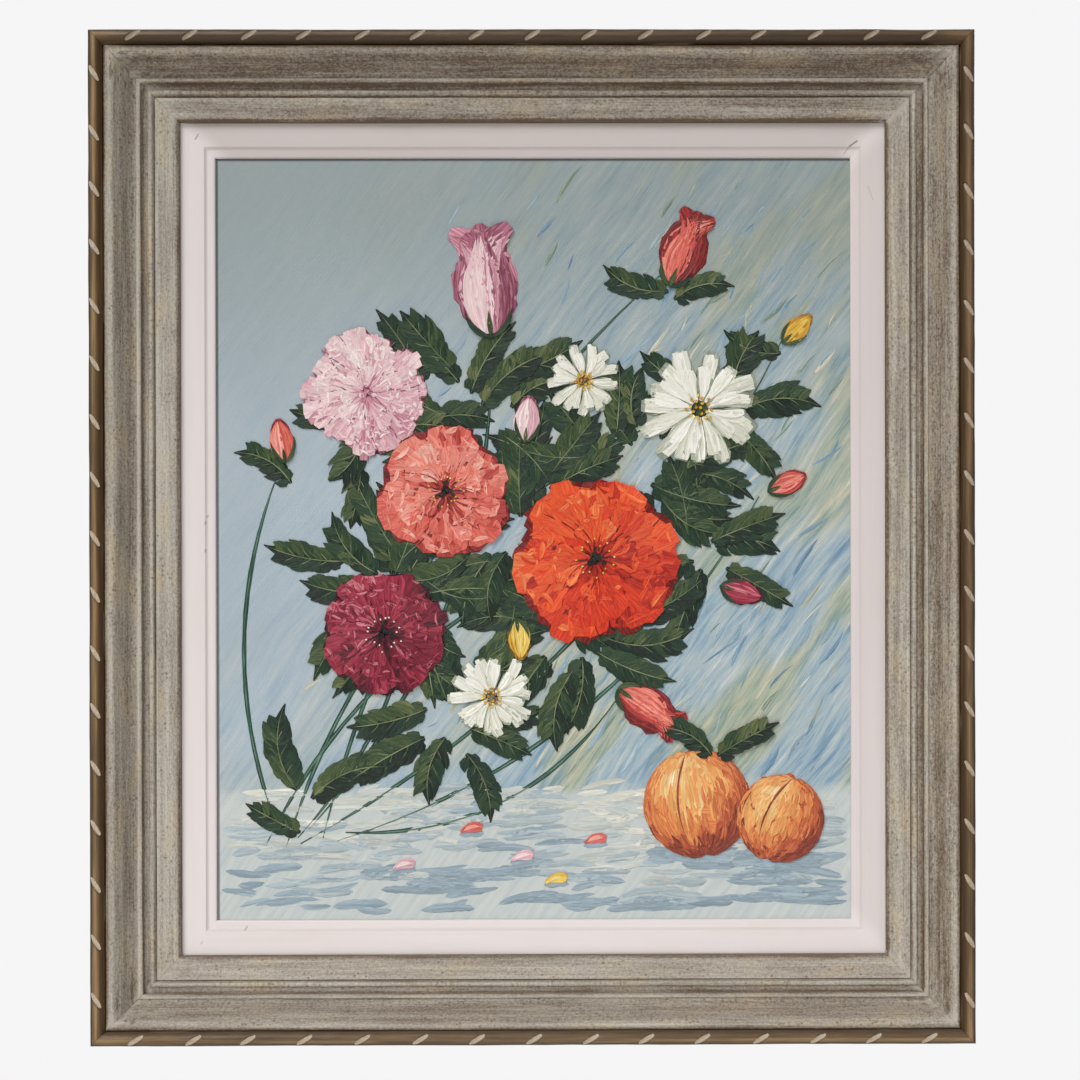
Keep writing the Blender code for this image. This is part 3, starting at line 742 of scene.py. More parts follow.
def piece(name, points, faces, finish, values=None, sharp=40):
    """A mesh that rides on the picture, with its per-point values for the material."""
    mesh = bpy.data.meshes.new(name)
    mesh.from_pydata(points.tolist(), [], faces)
    for key, value in (values or {}).items():
        kind, field = VALUE_KINDS[1 if value.ndim == 1 else value.shape[1]]
        layer = mesh.attributes.new(key, kind, "POINT")
        layer.data.foreach_set(field, np.ascontiguousarray(value, np.float32).ravel())
    mesh.shade_smooth()
    if sharp:
        mesh.set_sharp_from_angle(angle=math.radians(sharp))
    mesh.materials.append(finish)
    made = bpy.data.objects.new(name, mesh)
    bpy.context.scene.collection.objects.link(made)
    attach(made, "root")
    return made


def rail_length(side, width, height):
    return width if side in ("top", "bottom") else height


def laid(side, along, inset, depth, width, height):
    """Points of a rail, turned onto their side of a picture of that size."""
    reach = inset - rail_length(side, height, width) / 2
    x, z = {
        "bottom": (along, reach),
        "right": (-reach, along),
        "top": (-along, -reach),
        "left": (reach, -along),
    }[side]
    return np.stack([x + CENTRE.x, -depth, z + CENTRE.z], -1)


def rail(name, side, width, height, outline, stations, relief, extra, finish):
    """One mitred rail as a fine closed mesh. relief(along, inset, depth, girth)
    gives how far the surface stands out, and extra more values for the material."""
    outline = np.array(outline)
    nxt = np.roll(outline, -1, 0)
    if (outline[:, 0] * nxt[:, 1] - nxt[:, 0] * outline[:, 1]).sum() < 0:
        outline = outline[::-1]
    length = rail_length(side, width, height)
    before, after = np.roll(outline, 1, 0), np.roll(outline, -1, 0)
    tangent = after - before
    normal = np.stack([tangent[:, 1], -tangent[:, 0]], 1)
    normal /= np.linalg.norm(normal, axis=1)[:, None]
    girth = np.concatenate([[0], np.cumsum(np.linalg.norm(np.diff(outline, axis=0), axis=1))])
    inset, depth = outline.T
    reach = length / 2 - inset - MITRE_GAP
    at_start = (stations[:, None] <= -reach).sum(0) - 1
    at_end = len(stations) - (stations[:, None] >= reach).sum(0)
    place = np.clip(stations[:, None], -reach, reach)
    lift = relief(place, inset, depth, girth)
    moved_inset = inset + lift * normal[:, 0]
    moved_depth = depth + lift * normal[:, 1]
    limit = length / 2 - moved_inset - MITRE_GAP
    rows = np.arange(len(stations))[:, None]
    along = np.where(rows <= at_start, -limit, np.where(rows >= at_end, limit, place))
    along = np.clip(along, -limit, limit)

    count = len(outline)
    row = np.clip(rows, at_start, at_end)
    index = row * count + np.arange(count)
    ahead = np.roll(index, -1, 1)
    quads = np.stack([index[:-1], ahead[:-1], ahead[1:], index[1:]], -1).reshape(-1, 4)
    flat_here = quads[:, 0] == quads[:, 3]
    flat_next = quads[:, 1] == quads[:, 2]
    faces = quads[~flat_here & ~flat_next].tolist()
    faces += quads[flat_here & ~flat_next][:, [0, 1, 2]].tolist()
    faces += quads[~flat_here & flat_next][:, [0, 1, 3]].tolist()
    faces.append(index[0][::-1].tolist())
    faces.append(index[-1].tolist())
    used = np.unique(index)
    renumber = np.zeros(len(stations) * count, int)
    renumber[used] = np.arange(len(used))
    faces = [[int(renumber[i]) for i in face] for face in faces]

    def kept(values):
        return np.broadcast_to(values, place.shape).ravel()[used]

    points = laid(side, along, moved_inset, moved_depth, width, height).reshape(-1, 3)[used]
    seed = SIDES.index(side) * 7.3
    values = {
        "lay": np.stack([kept(along), kept(girth), kept(seed)], 1),
        "section": np.stack([kept(inset), kept(depth), kept(length / 2 - inset - np.abs(place))], 1),
    }
    for key, value in extra(place, inset, depth).items():
        values[key] = np.stack([kept(v) for v in value], 1) if isinstance(value, tuple) else kept(value)
    return piece(name, points, faces, finish, values)


# The moulding


def moulding_outline():
    """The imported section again, with more points on its curves."""
    centre = (BEAD_RADIUS, MOULDING_DEPTH - BEAD_RADIUS)
    side_top = MOULDING_DEPTH - BEAD_WIDTH * 0.9
    points = [(SIDE_SET_BACK, 0), (SIDE_SET_BACK, side_top / 2), (SIDE_SET_BACK, side_top)]
    points += arc(centre, BEAD_RADIUS, 212, 8, 24)
    x = SHOULDER_AT
    points += [(x - VALLEY_WIDTH / 2, VALLEY_FLOOR), (x, VALLEY_FLOOR + 0.0014)]
    for share, drop in ((0.06, 0.0007), (0.15, 0.0004), (0.45, 0.0), (0.8, 0.00015)):
        points.append((x + SHOULDER_WIDTH * share, SHOULDER_HEIGHT - drop))
    fall = SHOULDER_HEIGHT - 0.0005 - COVE_FLOOR
    for share in np.linspace(0, 1, 21):
        height = COVE_FLOOR + fall * (1 + math.cos(math.pi * share)) / 2
        points.append((COVE_AT + COVE_WIDTH * share, height))
    round_off = RIDGE_WIDTH * 0.2
    inner = RIDGE_AT + RIDGE_WIDTH
    outer_round = (RIDGE_AT + 1.2 * round_off, RIDGE_HEIGHT - round_off * 0.9)
    points += arc(outer_round, round_off * 0.9, 165, 90, 3)
    points += arc((inner - round_off, RIDGE_HEIGHT - round_off), round_off, 90, 5, 4)
    points += [
        (inner + round_off * 0.4, HOLLOW_FLOOR + round_off),
        (inner + HOLLOW_WIDTH * 0.5, HOLLOW_FLOOR + 0.0001),
        (inner + HOLLOW_WIDTH, HOLLOW_FLOOR),
    ]
    small = (SMALL_BEAD_AT + SMALL_BEAD_WIDTH / 2, HOLLOW_FLOOR - 0.0003)
    points += arc(small, SMALL_BEAD_WIDTH / 2, 160, 8, 9)
    points += [(GROOVE_AT + GROOVE_WIDTH / 2, GROOVE_FLOOR), (BAND_AT, BAND_OUTER_HEIGHT)]
    lip = (LIP_AT, BAND_INNER_HEIGHT - LIP_RADIUS)
    top = arc(lip, LIP_RADIUS, 84, 0, 7)
    for share in (0.2, 0.4, 0.6, 0.8):
        points.append((
            BAND_AT + (top[0][0] - BAND_AT) * share,
            BAND_OUTER_HEIGHT + (top[0][1] - BAND_OUTER_HEIGHT) * share,
        ))
    points += top
    return points + [
        (MOULDING_FACE, RABBET_DEPTH),
        (MOULDING_FACE - MOULDING_LAP, RABBET_DEPTH),
        (MOULDING_FACE - MOULDING_LAP, 0),
    ]


def nick_places(side, length):
    """Middle of each nick along the rail, as they are cut in the solids."""
    count = round((length - 2 * NICK_START) / NICK_PITCH) + 1
    pitch = (length - 2 * NICK_START) / (count - 1)
    hand = random.Random("nicks " + side)
    return [
        -length / 2 + NICK_START + pitch * i + hand.uniform(-1, 1) * NICK_JITTER
        for i in range(count)
    ]


def nick_lines(places, along, inset, depth):
    """Distance along the rail from the nearest nick's line, and how wide the nick is
    there, from 0 at its two ends to 1 in its middle."""
    leaned = along - NICK_LEAN * (inset - BEAD_RADIUS)
    off = np.full(np.broadcast(along, inset).shape, 0.02)
    for middle in places:
        nearer = np.abs(leaned - middle) < np.abs(off)
        off = np.where(nearer, leaned - middle, off)
    turn = np.degrees(np.arctan2(depth - (MOULDING_DEPTH - BEAD_RADIUS), inset - BEAD_RADIUS)) % 360
    share = (turn - NICK_FROM_DEG) / (NICK_TO_DEG - NICK_FROM_DEG)
    lens = np.clip(4 * share * (1 - share), 0, 1) ** 0.4
    near = (inset <= BEAD_WIDTH + 0.0001) & (depth > 0.035) & (np.abs(off) < 0.0050)
    return off, np.where(near, lens, 0.0)


def make_moulding():
    outline = moulding_outline()
    for number, side in enumerate(SIDES):
        length = rail_length(side, OUTER_WIDTH, OUTER_HEIGHT)
        places = nick_places(side, length)
        stations = list(np.arange(-length / 2, length / 2, STATION_STEP)) + [length / 2]
        stations = [s for s in stations if min(abs(s - p) for p in places) > NICK_REACH + 0.0002]
        for middle in places:
            end = middle + NICK_REACH + 0.0001
            stations += list(np.arange(middle - NICK_REACH, end, NICK_STATION_STEP))
        stations = np.array(sorted(stations))

        def relief(along, inset, depth, girth, places=places, number=number):
            off, lens = nick_lines(places, along, inset, depth)
            scoop = np.clip(1 - (off / (NICK_HALF * lens + 1e-6)) ** 2, 0, 1)
            rise = -NICK_DEPTH * np.sqrt(scoop) * lens
            shown = np.where(depth > 0.024, 1.0, 0.0)
            hand = hills(number + 11, along / 0.045, girth / 0.012) * 0.00022
            tool = hills(number + 31, along / 0.009, girth / 0.0022) * 0.00009
            chip = hills(number + 51, along / 0.0026, girth / 0.003)
            chipped = np.clip(chip - 0.55, 0, 1) * 0.0006
            edge = np.exp(-((inset - RIDGE_AT - 0.0008) / 0.0012) ** 2)
            edge = edge + np.exp(-((inset - RIDGE_AT + 0.0012) / 0.0015) ** 2)
            edge = edge + np.exp(-((inset - LIP_AT - 0.0015) / 0.0016) ** 2)
            chatter = hills(number + 71, along / 0.0021, girth / 0.01) * 0.00013
            on_small = np.exp(-((inset - SMALL_BEAD_AT - SMALL_BEAD_WIDTH / 2) / 0.0015) ** 2)
            return rise + shown * (hand + tool - chipped * edge + chatter * on_small)

        def extra(along, inset, depth, places=places, side=side):
            off, lens = nick_lines(places, along, inset, depth)
            # painted shade for this rail's side
            return {
                "nick": (off, lens, np.zeros_like(off)),
                "side_wash": np.full(off.shape, PAINTED_SIDE_SHADE[side]),
            }

        made = rail(
            "dressed_moulding_" + side, side, OUTER_WIDTH, OUTER_HEIGHT, outline, stations,
            relief, extra, LIMED_WOOD,
        )
        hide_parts("moulding_" + side)


# The liner


def liner_outline():
    step = LINER_SECTION - LINER_FACE + LINER_STEP_AT
    band = LINER_FRONT - LINER_STEP_DROP
    edge = 0.0016
    points = [(0, LINER_OFF_BACK), (0, LINER_FRONT)]
    points += [(step * share, LINER_FRONT) for share in (0.3, 0.45, 0.6, 0.75, 0.9)]
    points += arc((step - 0.0009, LINER_FRONT - 0.0009), 0.0009, 90, 30, 4)
    points += [(step + 0.0007, band + 0.00025), (step + 0.0014, band), (step + 0.0026, band - 0.0001)]
    points += arc((LINER_SECTION - edge, band - 0.0003 - edge), edge, 80, 0, 7)
    return points + [
        (LINER_SECTION, LINER_LEDGE),
        (LINER_WALL, LINER_LEDGE),
        (LINER_WALL, LINER_OFF_BACK),
    ]


def make_liner():
    outline = liner_outline()
    for number, side in enumerate(SIDES):
        length = rail_length(side, LINER_WIDTH, LINER_HEIGHT)
        stations = np.linspace(-length / 2, length / 2, int(length / LINER_STATION_STEP))

        def relief(along, inset, depth, girth, number=number):
            shown = np.where(depth > LINER_LEDGE, 1.0, 0.0)
            return shown * hills(number + 5, along / 0.06, girth / 0.02) * 0.00008

        # painted shade on each rail of the liner
        def extra(along, inset, depth, side=side):
            return {"greyed": np.full(np.broadcast(along, inset).shape, LINER_SIDE_SHADE[side])}

        made = rail(
            "dressed_liner_" + side, side, LINER_WIDTH, LINER_HEIGHT, outline, stations,
            relief, extra, LINER_PAINT,
        )
        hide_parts("liner_" + side)


# The canvas, and what is behind it


def sheet_faces(columns, rows):
    """A closed sheet's faces: front grid, back grid and a rim between them."""
    front = [
        (r * columns + c, r * columns + c + 1, (r + 1) * columns + c + 1, (r + 1) * columns + c)
        for r in range(rows - 1)
        for c in range(columns - 1)
    ]
    behind = columns * rows
    back = [tuple(behind + i for i in face[::-1]) for face in front]
    rim = list(range(columns))
    rim += [r * columns + columns - 1 for r in range(1, rows)]
    rim += [(rows - 1) * columns + c for c in range(columns - 2, -1, -1)]
    rim += [r * columns for r in range(rows - 2, 0, -1)]
    edge = [(b, a, behind + a, behind + b) for a, b in zip(rim, rim[1:] + rim[:1])]
    return front + back + edge


def make_sheet(name, half_x, half_z, near, far, step, wave, finish, extra=None):
    """A flat closed sheet facing the viewer, with its face gently uneven."""
    columns, rows = int(2 * half_x / step), int(2 * half_z / step)
    x, z = np.meshgrid(np.linspace(-half_x, half_x, columns), np.linspace(-half_z, half_z, rows))
    inside = np.clip(np.minimum(half_x - np.abs(x), half_z - np.abs(z)) / 0.006, 0, 1)
    uneven = hills(3, x / 0.05, z / 0.06) + 0.5 * hills(8, x / 0.011, z / 0.013)
    sheets = [near + wave * uneven * inside, np.full_like(x, far)]
    points = [np.stack([x, -depth, z + CENTRE.z], -1).reshape(-1, 3) for depth in sheets]
    values = extra(x, z) if extra else {}
    values = {key: np.tile(value.ravel(), 2) for key, value in values.items()}
    return piece(
        name, np.concatenate(points), sheet_faces(columns, rows), finish,
        values,
    )


def make_canvas():
    """Linen over the stretcher's face and edges, turned onto its back, painted in front."""
    fold, thick = 0.020, 0.0006
    round_off = 0.0008
    middle = 0.012
    skin = [(middle, CANVAS_FRONT)]
    skin += arc((round_off, CANVAS_FRONT - round_off), round_off, 90, 180, 4)
    skin += arc((round_off, CANVAS_BACK + round_off), round_off, 180, 270, 4)
    skin += [(fold * share, CANVAS_BACK) for share in (0.3, 0.6, 0.85, 1.0)]
    skin += [(fold, CANVAS_BACK + thick), (thick, CANVAS_BACK + thick)]
    skin += [(thick, CANVAS_FRONT - thick), (middle, CANVAS_FRONT - thick)]
    for number, side in enumerate(SIDES):
        length = rail_length(side, CANVAS_WIDTH, CANVAS_HEIGHT)
        stations = np.linspace(-length / 2, length / 2, int(length / LINEN_STATION_STEP))

        def relief(along, inset, depth, girth, number=number):
            hem = np.where((inset > fold * 0.8) & (depth < CANVAS_BACK + 0.0001), 1.0, 0.0)
            return hem * (hills(number + 91, along / 0.006, girth / 0.05) - 1) * 0.00015

        made = rail(
            "linen_edge_" + side, side, CANVAS_WIDTH, CANVAS_HEIGHT, skin, stations,
            relief, lambda along, inset, depth: {}, RAW_LINEN,
        )
        if side == "bottom":
            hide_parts("canvas")
    half_x, half_z = CANVAS_WIDTH / 2 - middle, CANVAS_HEIGHT / 2 - middle
    make_sheet(
        "linen_middle", half_x, half_z, CANVAS_FRONT - 0.00005, CANVAS_FRONT - thick,
        0.008, 0.0, RAW_LINEN,
    )
    make_sheet(
        "painted_ground", SIGHT_WIDTH / 2 + 0.003, SIGHT_HEIGHT / 2 + 0.003,
        CANVAS_FRONT + 0.00012, CANVAS_FRONT, 0.0050, 0.00008, PAINTED_GROUND,
        lambda x, z: {"ledge": ledge_share(x, z)},
    )


# The picture, laid as touches of a knife or a stiff brush. Places on it are in
# millimetres from its middle, to the right and up.

LEDGE_TOP = -176


def ledge_share(x, z):
    """Where the pale cloth on the ledge shows, as a soft-edged band along the bottom."""
    edge = LEDGE_TOP * 0.001 + 0.004 * hills(12, x / 0.05, 0 * x) + 0.02 * x
    return np.clip((edge - z) / 0.006, 0, 1)


def shades(*colours):
    """A list of paints, from the darkest to the lightest."""
    return [tint(*colour) for colour in colours]


GROUND_BLUES = shades((104, 140, 168), (134, 162, 180), (160, 180, 190), (184, 198, 202))
GROUND_EARTHS = shades((116, 142, 128), (160, 168, 146), (194, 190, 166), (218, 214, 196))
LEAF_GREENS = shades(
    (16, 32, 24), (24, 46, 32), (34, 60, 40), (50, 72, 42), (78, 92, 52), (112, 118, 76),
    (146, 154, 116),
)
VEINS = shades((92, 108, 70), (136, 146, 106))
STEMS = shades((30, 56, 46), (56, 92, 74), (104, 138, 118))
PINKS = shades(
    (128, 62, 84), (190, 118, 138), (218, 160, 172), (234, 196, 200), (244, 220, 218),
    (250, 236, 230),
)
CORALS = shades(
    (104, 28, 32), (168, 52, 50), (206, 84, 72), (228, 118, 102), (240, 154, 138),
    (248, 192, 174),
)
ORANGES = shades(
    (96, 18, 16), (158, 30, 20), (204, 46, 24), (226, 70, 32), (236, 98, 48), (244, 140, 84),
)
CRIMSONS = shades(
    (36, 6, 16), (68, 10, 26), (104, 16, 38), (140, 30, 54), (176, 62, 82), (208, 130, 140),
)
WHITES = shades(
    (126, 134, 118), (176, 182, 164), (214, 214, 196), (234, 232, 216), (244, 242, 230),
    (250, 248, 240),
)
YELLOWS = shades((128, 84, 24), (184, 130, 34), (220, 172, 56), (236, 202, 96), (244, 224, 150))
PEACHES = shades(
    (112, 48, 36), (170, 76, 50), (210, 112, 66), (230, 150, 84), (240, 184, 112),
    (246, 210, 150), (250, 232, 196),
)
STONES = shades(
    (142, 160, 172), (164, 180, 188), (188, 197, 196), (214, 214, 202), (236, 233, 220),
)
DARK_EYES = shades((18, 16, 20), (40, 30, 34), (64, 50, 44))

SHAPES = {
    "round": lambda t: np.sqrt(np.clip(1 - (2 * t - 1) ** 2, 0.004, 1)),
    "dab": lambda t: np.sqrt(np.clip(1 - np.abs(2 * t - 1) ** 3.2, 0.01, 1)),
    "cup": lambda t: np.sin(math.pi * np.clip(0.06 + 0.92 * t, 0, 1) ** 1.1) ** 0.6,
    "petal": lambda t: 0.28 + 0.72 * np.sin(math.pi * np.clip(t, 0, 1) ** 1.5 * 0.86) ** 0.8,
    "leaf": lambda t: np.sin(math.pi * np.clip(t, 0.015, 0.985) ** 0.78) ** 0.85,
    "line": lambda t: np.clip(np.minimum(t * 8, (1 - t) * 4), 0.25, 1),
}
# Points across a touch and how high they stand: widest touch in millimetres, places, heights
SECTIONS = (
    (2.5, [-1.0, -0.7, 0.7, 1.0], [0.0, 0.9, 0.9, 0.0]),
    (10.5, [-1.0, -0.86, 0.05, 0.88, 1.0], [0.0, 1.0, 0.55, 0.95, 0.0]),
    (999, [-1.0, -0.9, -0.4, 0.1, 0.6, 0.92, 1.0], [0.0, 1.0, 0.66, 0.55, 0.7, 0.95, 0.0]),
)


class Paint:
    """Gathers the touches of one part of the picture into one mesh."""

    def __init__(self, seed):
        self.hand = random.Random(seed)
        self.points, self.faces, self.values = [], [], []
        self.count = 0

    def pick(self, colours, share):
        """Two neighbouring paints of a list, near the asked share of its length."""
        last = len(colours) - 1
        at = math.floor(share * last + self.hand.gauss(0, 0.42))
        low = max(0, min(last - 1, at))
        light = self.hand.uniform(0.92, 1.08)
        pair = colours[low], colours[min(last, low + 1)]
        return [tuple(min(1, part * light) for part in c[:3]) + (1,) for c in pair]

    def touch(self, start, end, width, colours, share=0.5, bow=0.0, level=0.2, body=0.5, shape="dab"):
        """One touch from start to end, bowed sideways by a share of its length. Its two
        edges stand up where the knife pressed the paint aside. Sizes in millimetres."""
        first, second = self.pick(colours, share)
        start, end = np.array(start, float), np.array(end, float)
        ahead = end - start
        length = max(np.linalg.norm(ahead), 0.01)
        side = np.array([-ahead[1], ahead[0]])
        t = np.linspace(0, 1, max(4, min(20, int(length / 3.4) + 2)))
        line = start + t[:, None] * ahead + (4 * t * (1 - t) * bow)[:, None] * side
        slope = ahead + (4 * (1 - 2 * t) * bow)[:, None] * side
        slope /= np.linalg.norm(slope, axis=1)[:, None]
        beside = np.stack([-slope[:, 1], slope[:, 0]], 1)
        section = next(row for row in SECTIONS if width < row[0])
        across, rise = np.array(section[1]), np.array(section[2])
        wide = SHAPES[shape](t) * width / 2
        seed = self.hand.uniform(0, 500)
        ragged = 1 + 0.16 * hills(5, seed + t * length / 3.2, 0 * t)
        off = (wide * ragged)[:, None] * across
        flat = line[:, None, :] + off[:, :, None] * beside[:, None, :]
        heavy = (0.55 + 0.45 * np.sin(math.pi * np.clip(0.15 + 0.85 * t, 0, 1) * 0.75))[:, None]
        lumps = 1 + 0.4 * hills(6, seed + t[:, None] * length / 3.5, across * wide[:, None] / 2.0)
        height = (level + body * heavy * lumps) * (0.75 + 0.25 * rise)
        height = np.where(rise > 0, height, -0.05)
        depth = CANVAS_FRONT + height * 0.001
        points = np.stack([flat[..., 0] * 0.001, -depth, flat[..., 1] * 0.001 + CENTRE.z], -1)
        rows, columns = len(t), len(across)
        index = np.arange(rows * columns).reshape(rows, columns) + self.count
        top = np.stack([index[:-1, :-1], index[1:, :-1], index[1:, 1:], index[:-1, 1:]], -1)
        under = np.stack([index[:-1, 0], index[:-1, -1], index[1:, -1], index[1:, 0]], -1)
        self.faces += top.reshape(-1, 4).tolist() + under.tolist()
        self.faces += [index[0].tolist(), index[-1][::-1].tolist()]
        place = np.stack(np.broadcast_arrays(
            t[:, None] * length * 0.001, off * 0.001, np.full_like(off, seed)
        ), -1)
        flat_colours = [np.broadcast_to(np.array(c), (rows, columns, 4)) for c in (first, second)]
        self.values.append([v.reshape(rows * columns, -1) for v in (place, *flat_colours)])
        self.points.append(points.reshape(-1, 3))
        self.count += rows * columns

    def finish(self, name):
        place, first, second = (np.concatenate(v) for v in zip(*self.values))
        values = {"touch": place, "paint": first, "under_paint": second}
        points = np.concatenate(self.points)
        return piece(name, points, self.faces, THICK_PAINT, values, sharp=55)


def polar(centre, angle, distance):
    turn = math.radians(angle)
    return (centre[0] + distance * math.cos(turn), centre[1] + distance * math.sin(turn))


def along_bow(start, end, bow, share):
    """The place at a share of the way along a bowed line."""
    ahead = (end[0] - start[0], end[1] - start[1])
    out = 4 * share * (1 - share) * bow
    return (
        start[0] + share * ahead[0] - out * ahead[1],
        start[1] + share * ahead[1] + out * ahead[0],
    )


# The side that the painted light comes from, in degrees from the right upwards
LIT_FROM = 128


def leaf(paint, base, angle, length, width, level=0.3, pale=0.0):
    """A toothed leaf: a dark shape, slanting touches on either side, then veins."""
    hand = paint.hand
    bow = hand.uniform(-0.15, 0.15)
    tip = polar(base, angle, length)
    paint.touch(base, tip, width * 0.72, LEAF_GREENS, 0.06, bow, level, 0.12, "leaf")
    steps = max(5, round(length / 8))
    for side in (1, -1):
        lit = 0.5 + 0.5 * math.cos(math.radians(angle + side * 90 - LIT_FROM))
        for i in range(steps):
            share = 0.05 + 0.80 * i / steps
            start = along_bow(base, tip, bow, share)
            reach = width * 0.66 * math.sin(math.pi * (share * 0.9 + 0.1) ** 0.8) + 3
            end = polar(start, angle + side * hand.uniform(24, 42), reach * hand.uniform(0.9, 1.15))
            tone = 0.10 + 0.42 * lit + pale + hand.uniform(-0.10, 0.12)
            paint.touch(
                start, end, length * 0.15, LEAF_GREENS, tone, side * 0.12,
                level + 0.12 + 0.02 * i, 0.35, "leaf",
            )
    paint.touch(base, along_bow(base, tip, bow, 0.96), 1.0, VEINS, 0.5, bow, level + 0.5, 0.2, "line")
    for i in range(3):
        share = 0.2 + 0.2 * i
        start = along_bow(base, tip, bow, share)
        for turn in (36, -36):
            reach = width * 0.5 * math.sin(math.pi * share ** 0.8)
            paint.touch(
                start, polar(start, angle + turn, reach), 0.55, VEINS, 0.3, 0.05, level + 0.45,
                0.12, "line",
            )


def stem(paint, start, end, bow, width=2.6, level=0.15):
    paint.touch(start, end, width * 1.3, STEMS, 0.0, bow, level, 0.2, "line")
    paint.touch(start, end, width * 0.5, STEMS, 0.9, bow, level + 0.25, 0.25, "line")


def petal(paint, root, angle, length, width, colours, level, tone=0.0):
    """A petal from its dark root to its bright rim, each touch lapping the last."""
    hand = paint.hand
    spread = math.degrees(math.atan2(width * 0.42, length))
    paint.touch(
        root, polar(root, angle, length * 0.92), width * 0.84, colours, 0.05, 0, level, 0.15,
        "petal",
    )
    for row, (start, end, count) in enumerate(((0.05, 0.62, 4), (0.30, 0.98, 5))):
        for i in range(count):
            lean = 2 * i / (count - 1) - 1
            reach = length * end * (1 - 0.12 * lean * lean) * hand.uniform(0.93, 1.03)
            share = 0.30 + 0.26 * row + tone + hand.uniform(-0.12, 0.12)
            paint.touch(
                polar(root, angle + lean * spread * 0.6, length * start),
                polar(root, angle + lean * spread, reach),
                width / count * 1.55, colours, share, -0.06 * lean,
                level + 0.12 + 0.18 * row + 0.03 * i, 0.45, "petal",
            )
    for i in range(5):
        if hand.random() < 0.3:
            continue
        lean = (i - 2) / 2.2
        edge = length * (0.95 - 0.16 * lean * lean)
        half = hand.uniform(0.14, 0.40)
        paint.touch(
            polar(root, angle + (lean - half) * spread, edge * hand.uniform(0.86, 1.0)),
            polar(root, angle + (lean + half) * spread, edge * hand.uniform(0.90, 1.0)),
            1.3 + width * hand.uniform(0.02, 0.06), colours, hand.uniform(0.62, 0.98) + tone,
            0.10, level + 0.42, 0.6, "leaf",
        )
    fold = hand.choice((-1, 1))
    paint.touch(
        polar(root, angle + fold * spread * 0.5, length * 0.3),
        polar(root, angle + fold * spread * 1.06, length * 0.93),
        1.5, colours, 0.0, fold * -0.06, level + 0.45, 0.3, "line",
    )


def eye(paint, centre, radius, level, dots):
    """A flower's dark middle with a ring of stamens."""
    for i in range(9):
        spot = polar(centre, 137 * i, radius * 0.26 * math.sqrt(i))
        paint.touch(
            spot, polar(spot, 70 * i, radius * 0.5), radius * 0.42, DARK_EYES, 0.4, 0.1, level,
            0.5,
        )
    for i in range(16):
        angle = 360 * i / 16 + paint.hand.uniform(-9, 9)
        tip = polar(centre, angle, radius * paint.hand.uniform(1.0, 1.7))
        paint.touch(
            polar(centre, angle, radius * 0.7), tip, 0.7, DARK_EYES, 0.3, 0.08, level + 0.3, 0.2,
            "line",
        )
        paint.touch(tip, polar(tip, angle, 1.6), 1.5, dots, 0.7, 0, level + 0.4, 0.4)


# Rings of a flower, from the outside in: share of its radius, petals, fullness
POPPY = ((1.0, 6, 1.25), (0.78, 5, 1.15), (0.52, 4, 1.0))
ANEMONE = ((1.0, 9, 1.3), (0.76, 8, 1.2), (0.52, 6, 1.1))
DAHLIA = ((1.0, 13, 1.3), (0.82, 12, 1.25), (0.62, 10, 1.2), (0.42, 7, 1.1))


def bloom(paint, centre, radius, rings, colours, level, turn=0):
    """A flower seen from the front, as rings of petals."""
    hand = paint.hand
    for ring, (reach, count, full) in enumerate(rings):
        for i in range(count):
            angle = turn + 360 * (i + 0.5 * ring) / count + hand.uniform(-9, 9)
            length = radius * reach * hand.uniform(0.88, 1.05)
            width = 2 * length * math.sin(math.pi / count) * full
            lit = 0.10 * math.cos(math.radians(angle - LIT_FROM))
            petal(
                paint, polar(centre, angle, radius * 0.05), angle, length, width, colours,
                level + 0.38 * ring + 0.12 * (i % 2), lit + 0.04 * ring,
            )


def daisy(paint, centre, radius, level, turn=0, petals=15):
    hand = paint.hand
    for ring, reach in enumerate((1.0, 0.8)):
        for i in range(petals - 3 * ring):
            angle = turn + 360 * (i + 0.4 * ring) / (petals - 3 * ring) + hand.uniform(-6, 6)
            outer = radius * reach * hand.uniform(0.86, 1.04)
            bow = hand.uniform(-0.10, 0.10)
            lit = 0.12 * math.cos(math.radians(angle - LIT_FROM))
            root = polar(centre, angle, radius * 0.14)
            at = level + 0.5 * ring
            paint.touch(
                root, polar(centre, angle, outer), radius * 0.30, WHITES, 0.12, bow, at, 0.1,
                "petal",
            )
            for shift in (-5, 4, 0):
                tip = polar(centre, angle + shift, outer * hand.uniform(0.9, 1.0))
                share = 0.62 + lit + 0.14 * ring + 0.03 * shift
                paint.touch(root, tip, radius * 0.15, WHITES, share, bow, at + 0.14, 0.6, "petal")
    for i in range(20):
        spot = polar(centre, 137.5 * i, radius * 0.05 * math.sqrt(i))
        paint.touch(
            spot, polar(spot, 137.5 * i + 60, 2.2), 2.6, YELLOWS, 0.3 + 0.02 * i, 0,
            level + 1.1 + 0.02 * i, 0.5,
        )


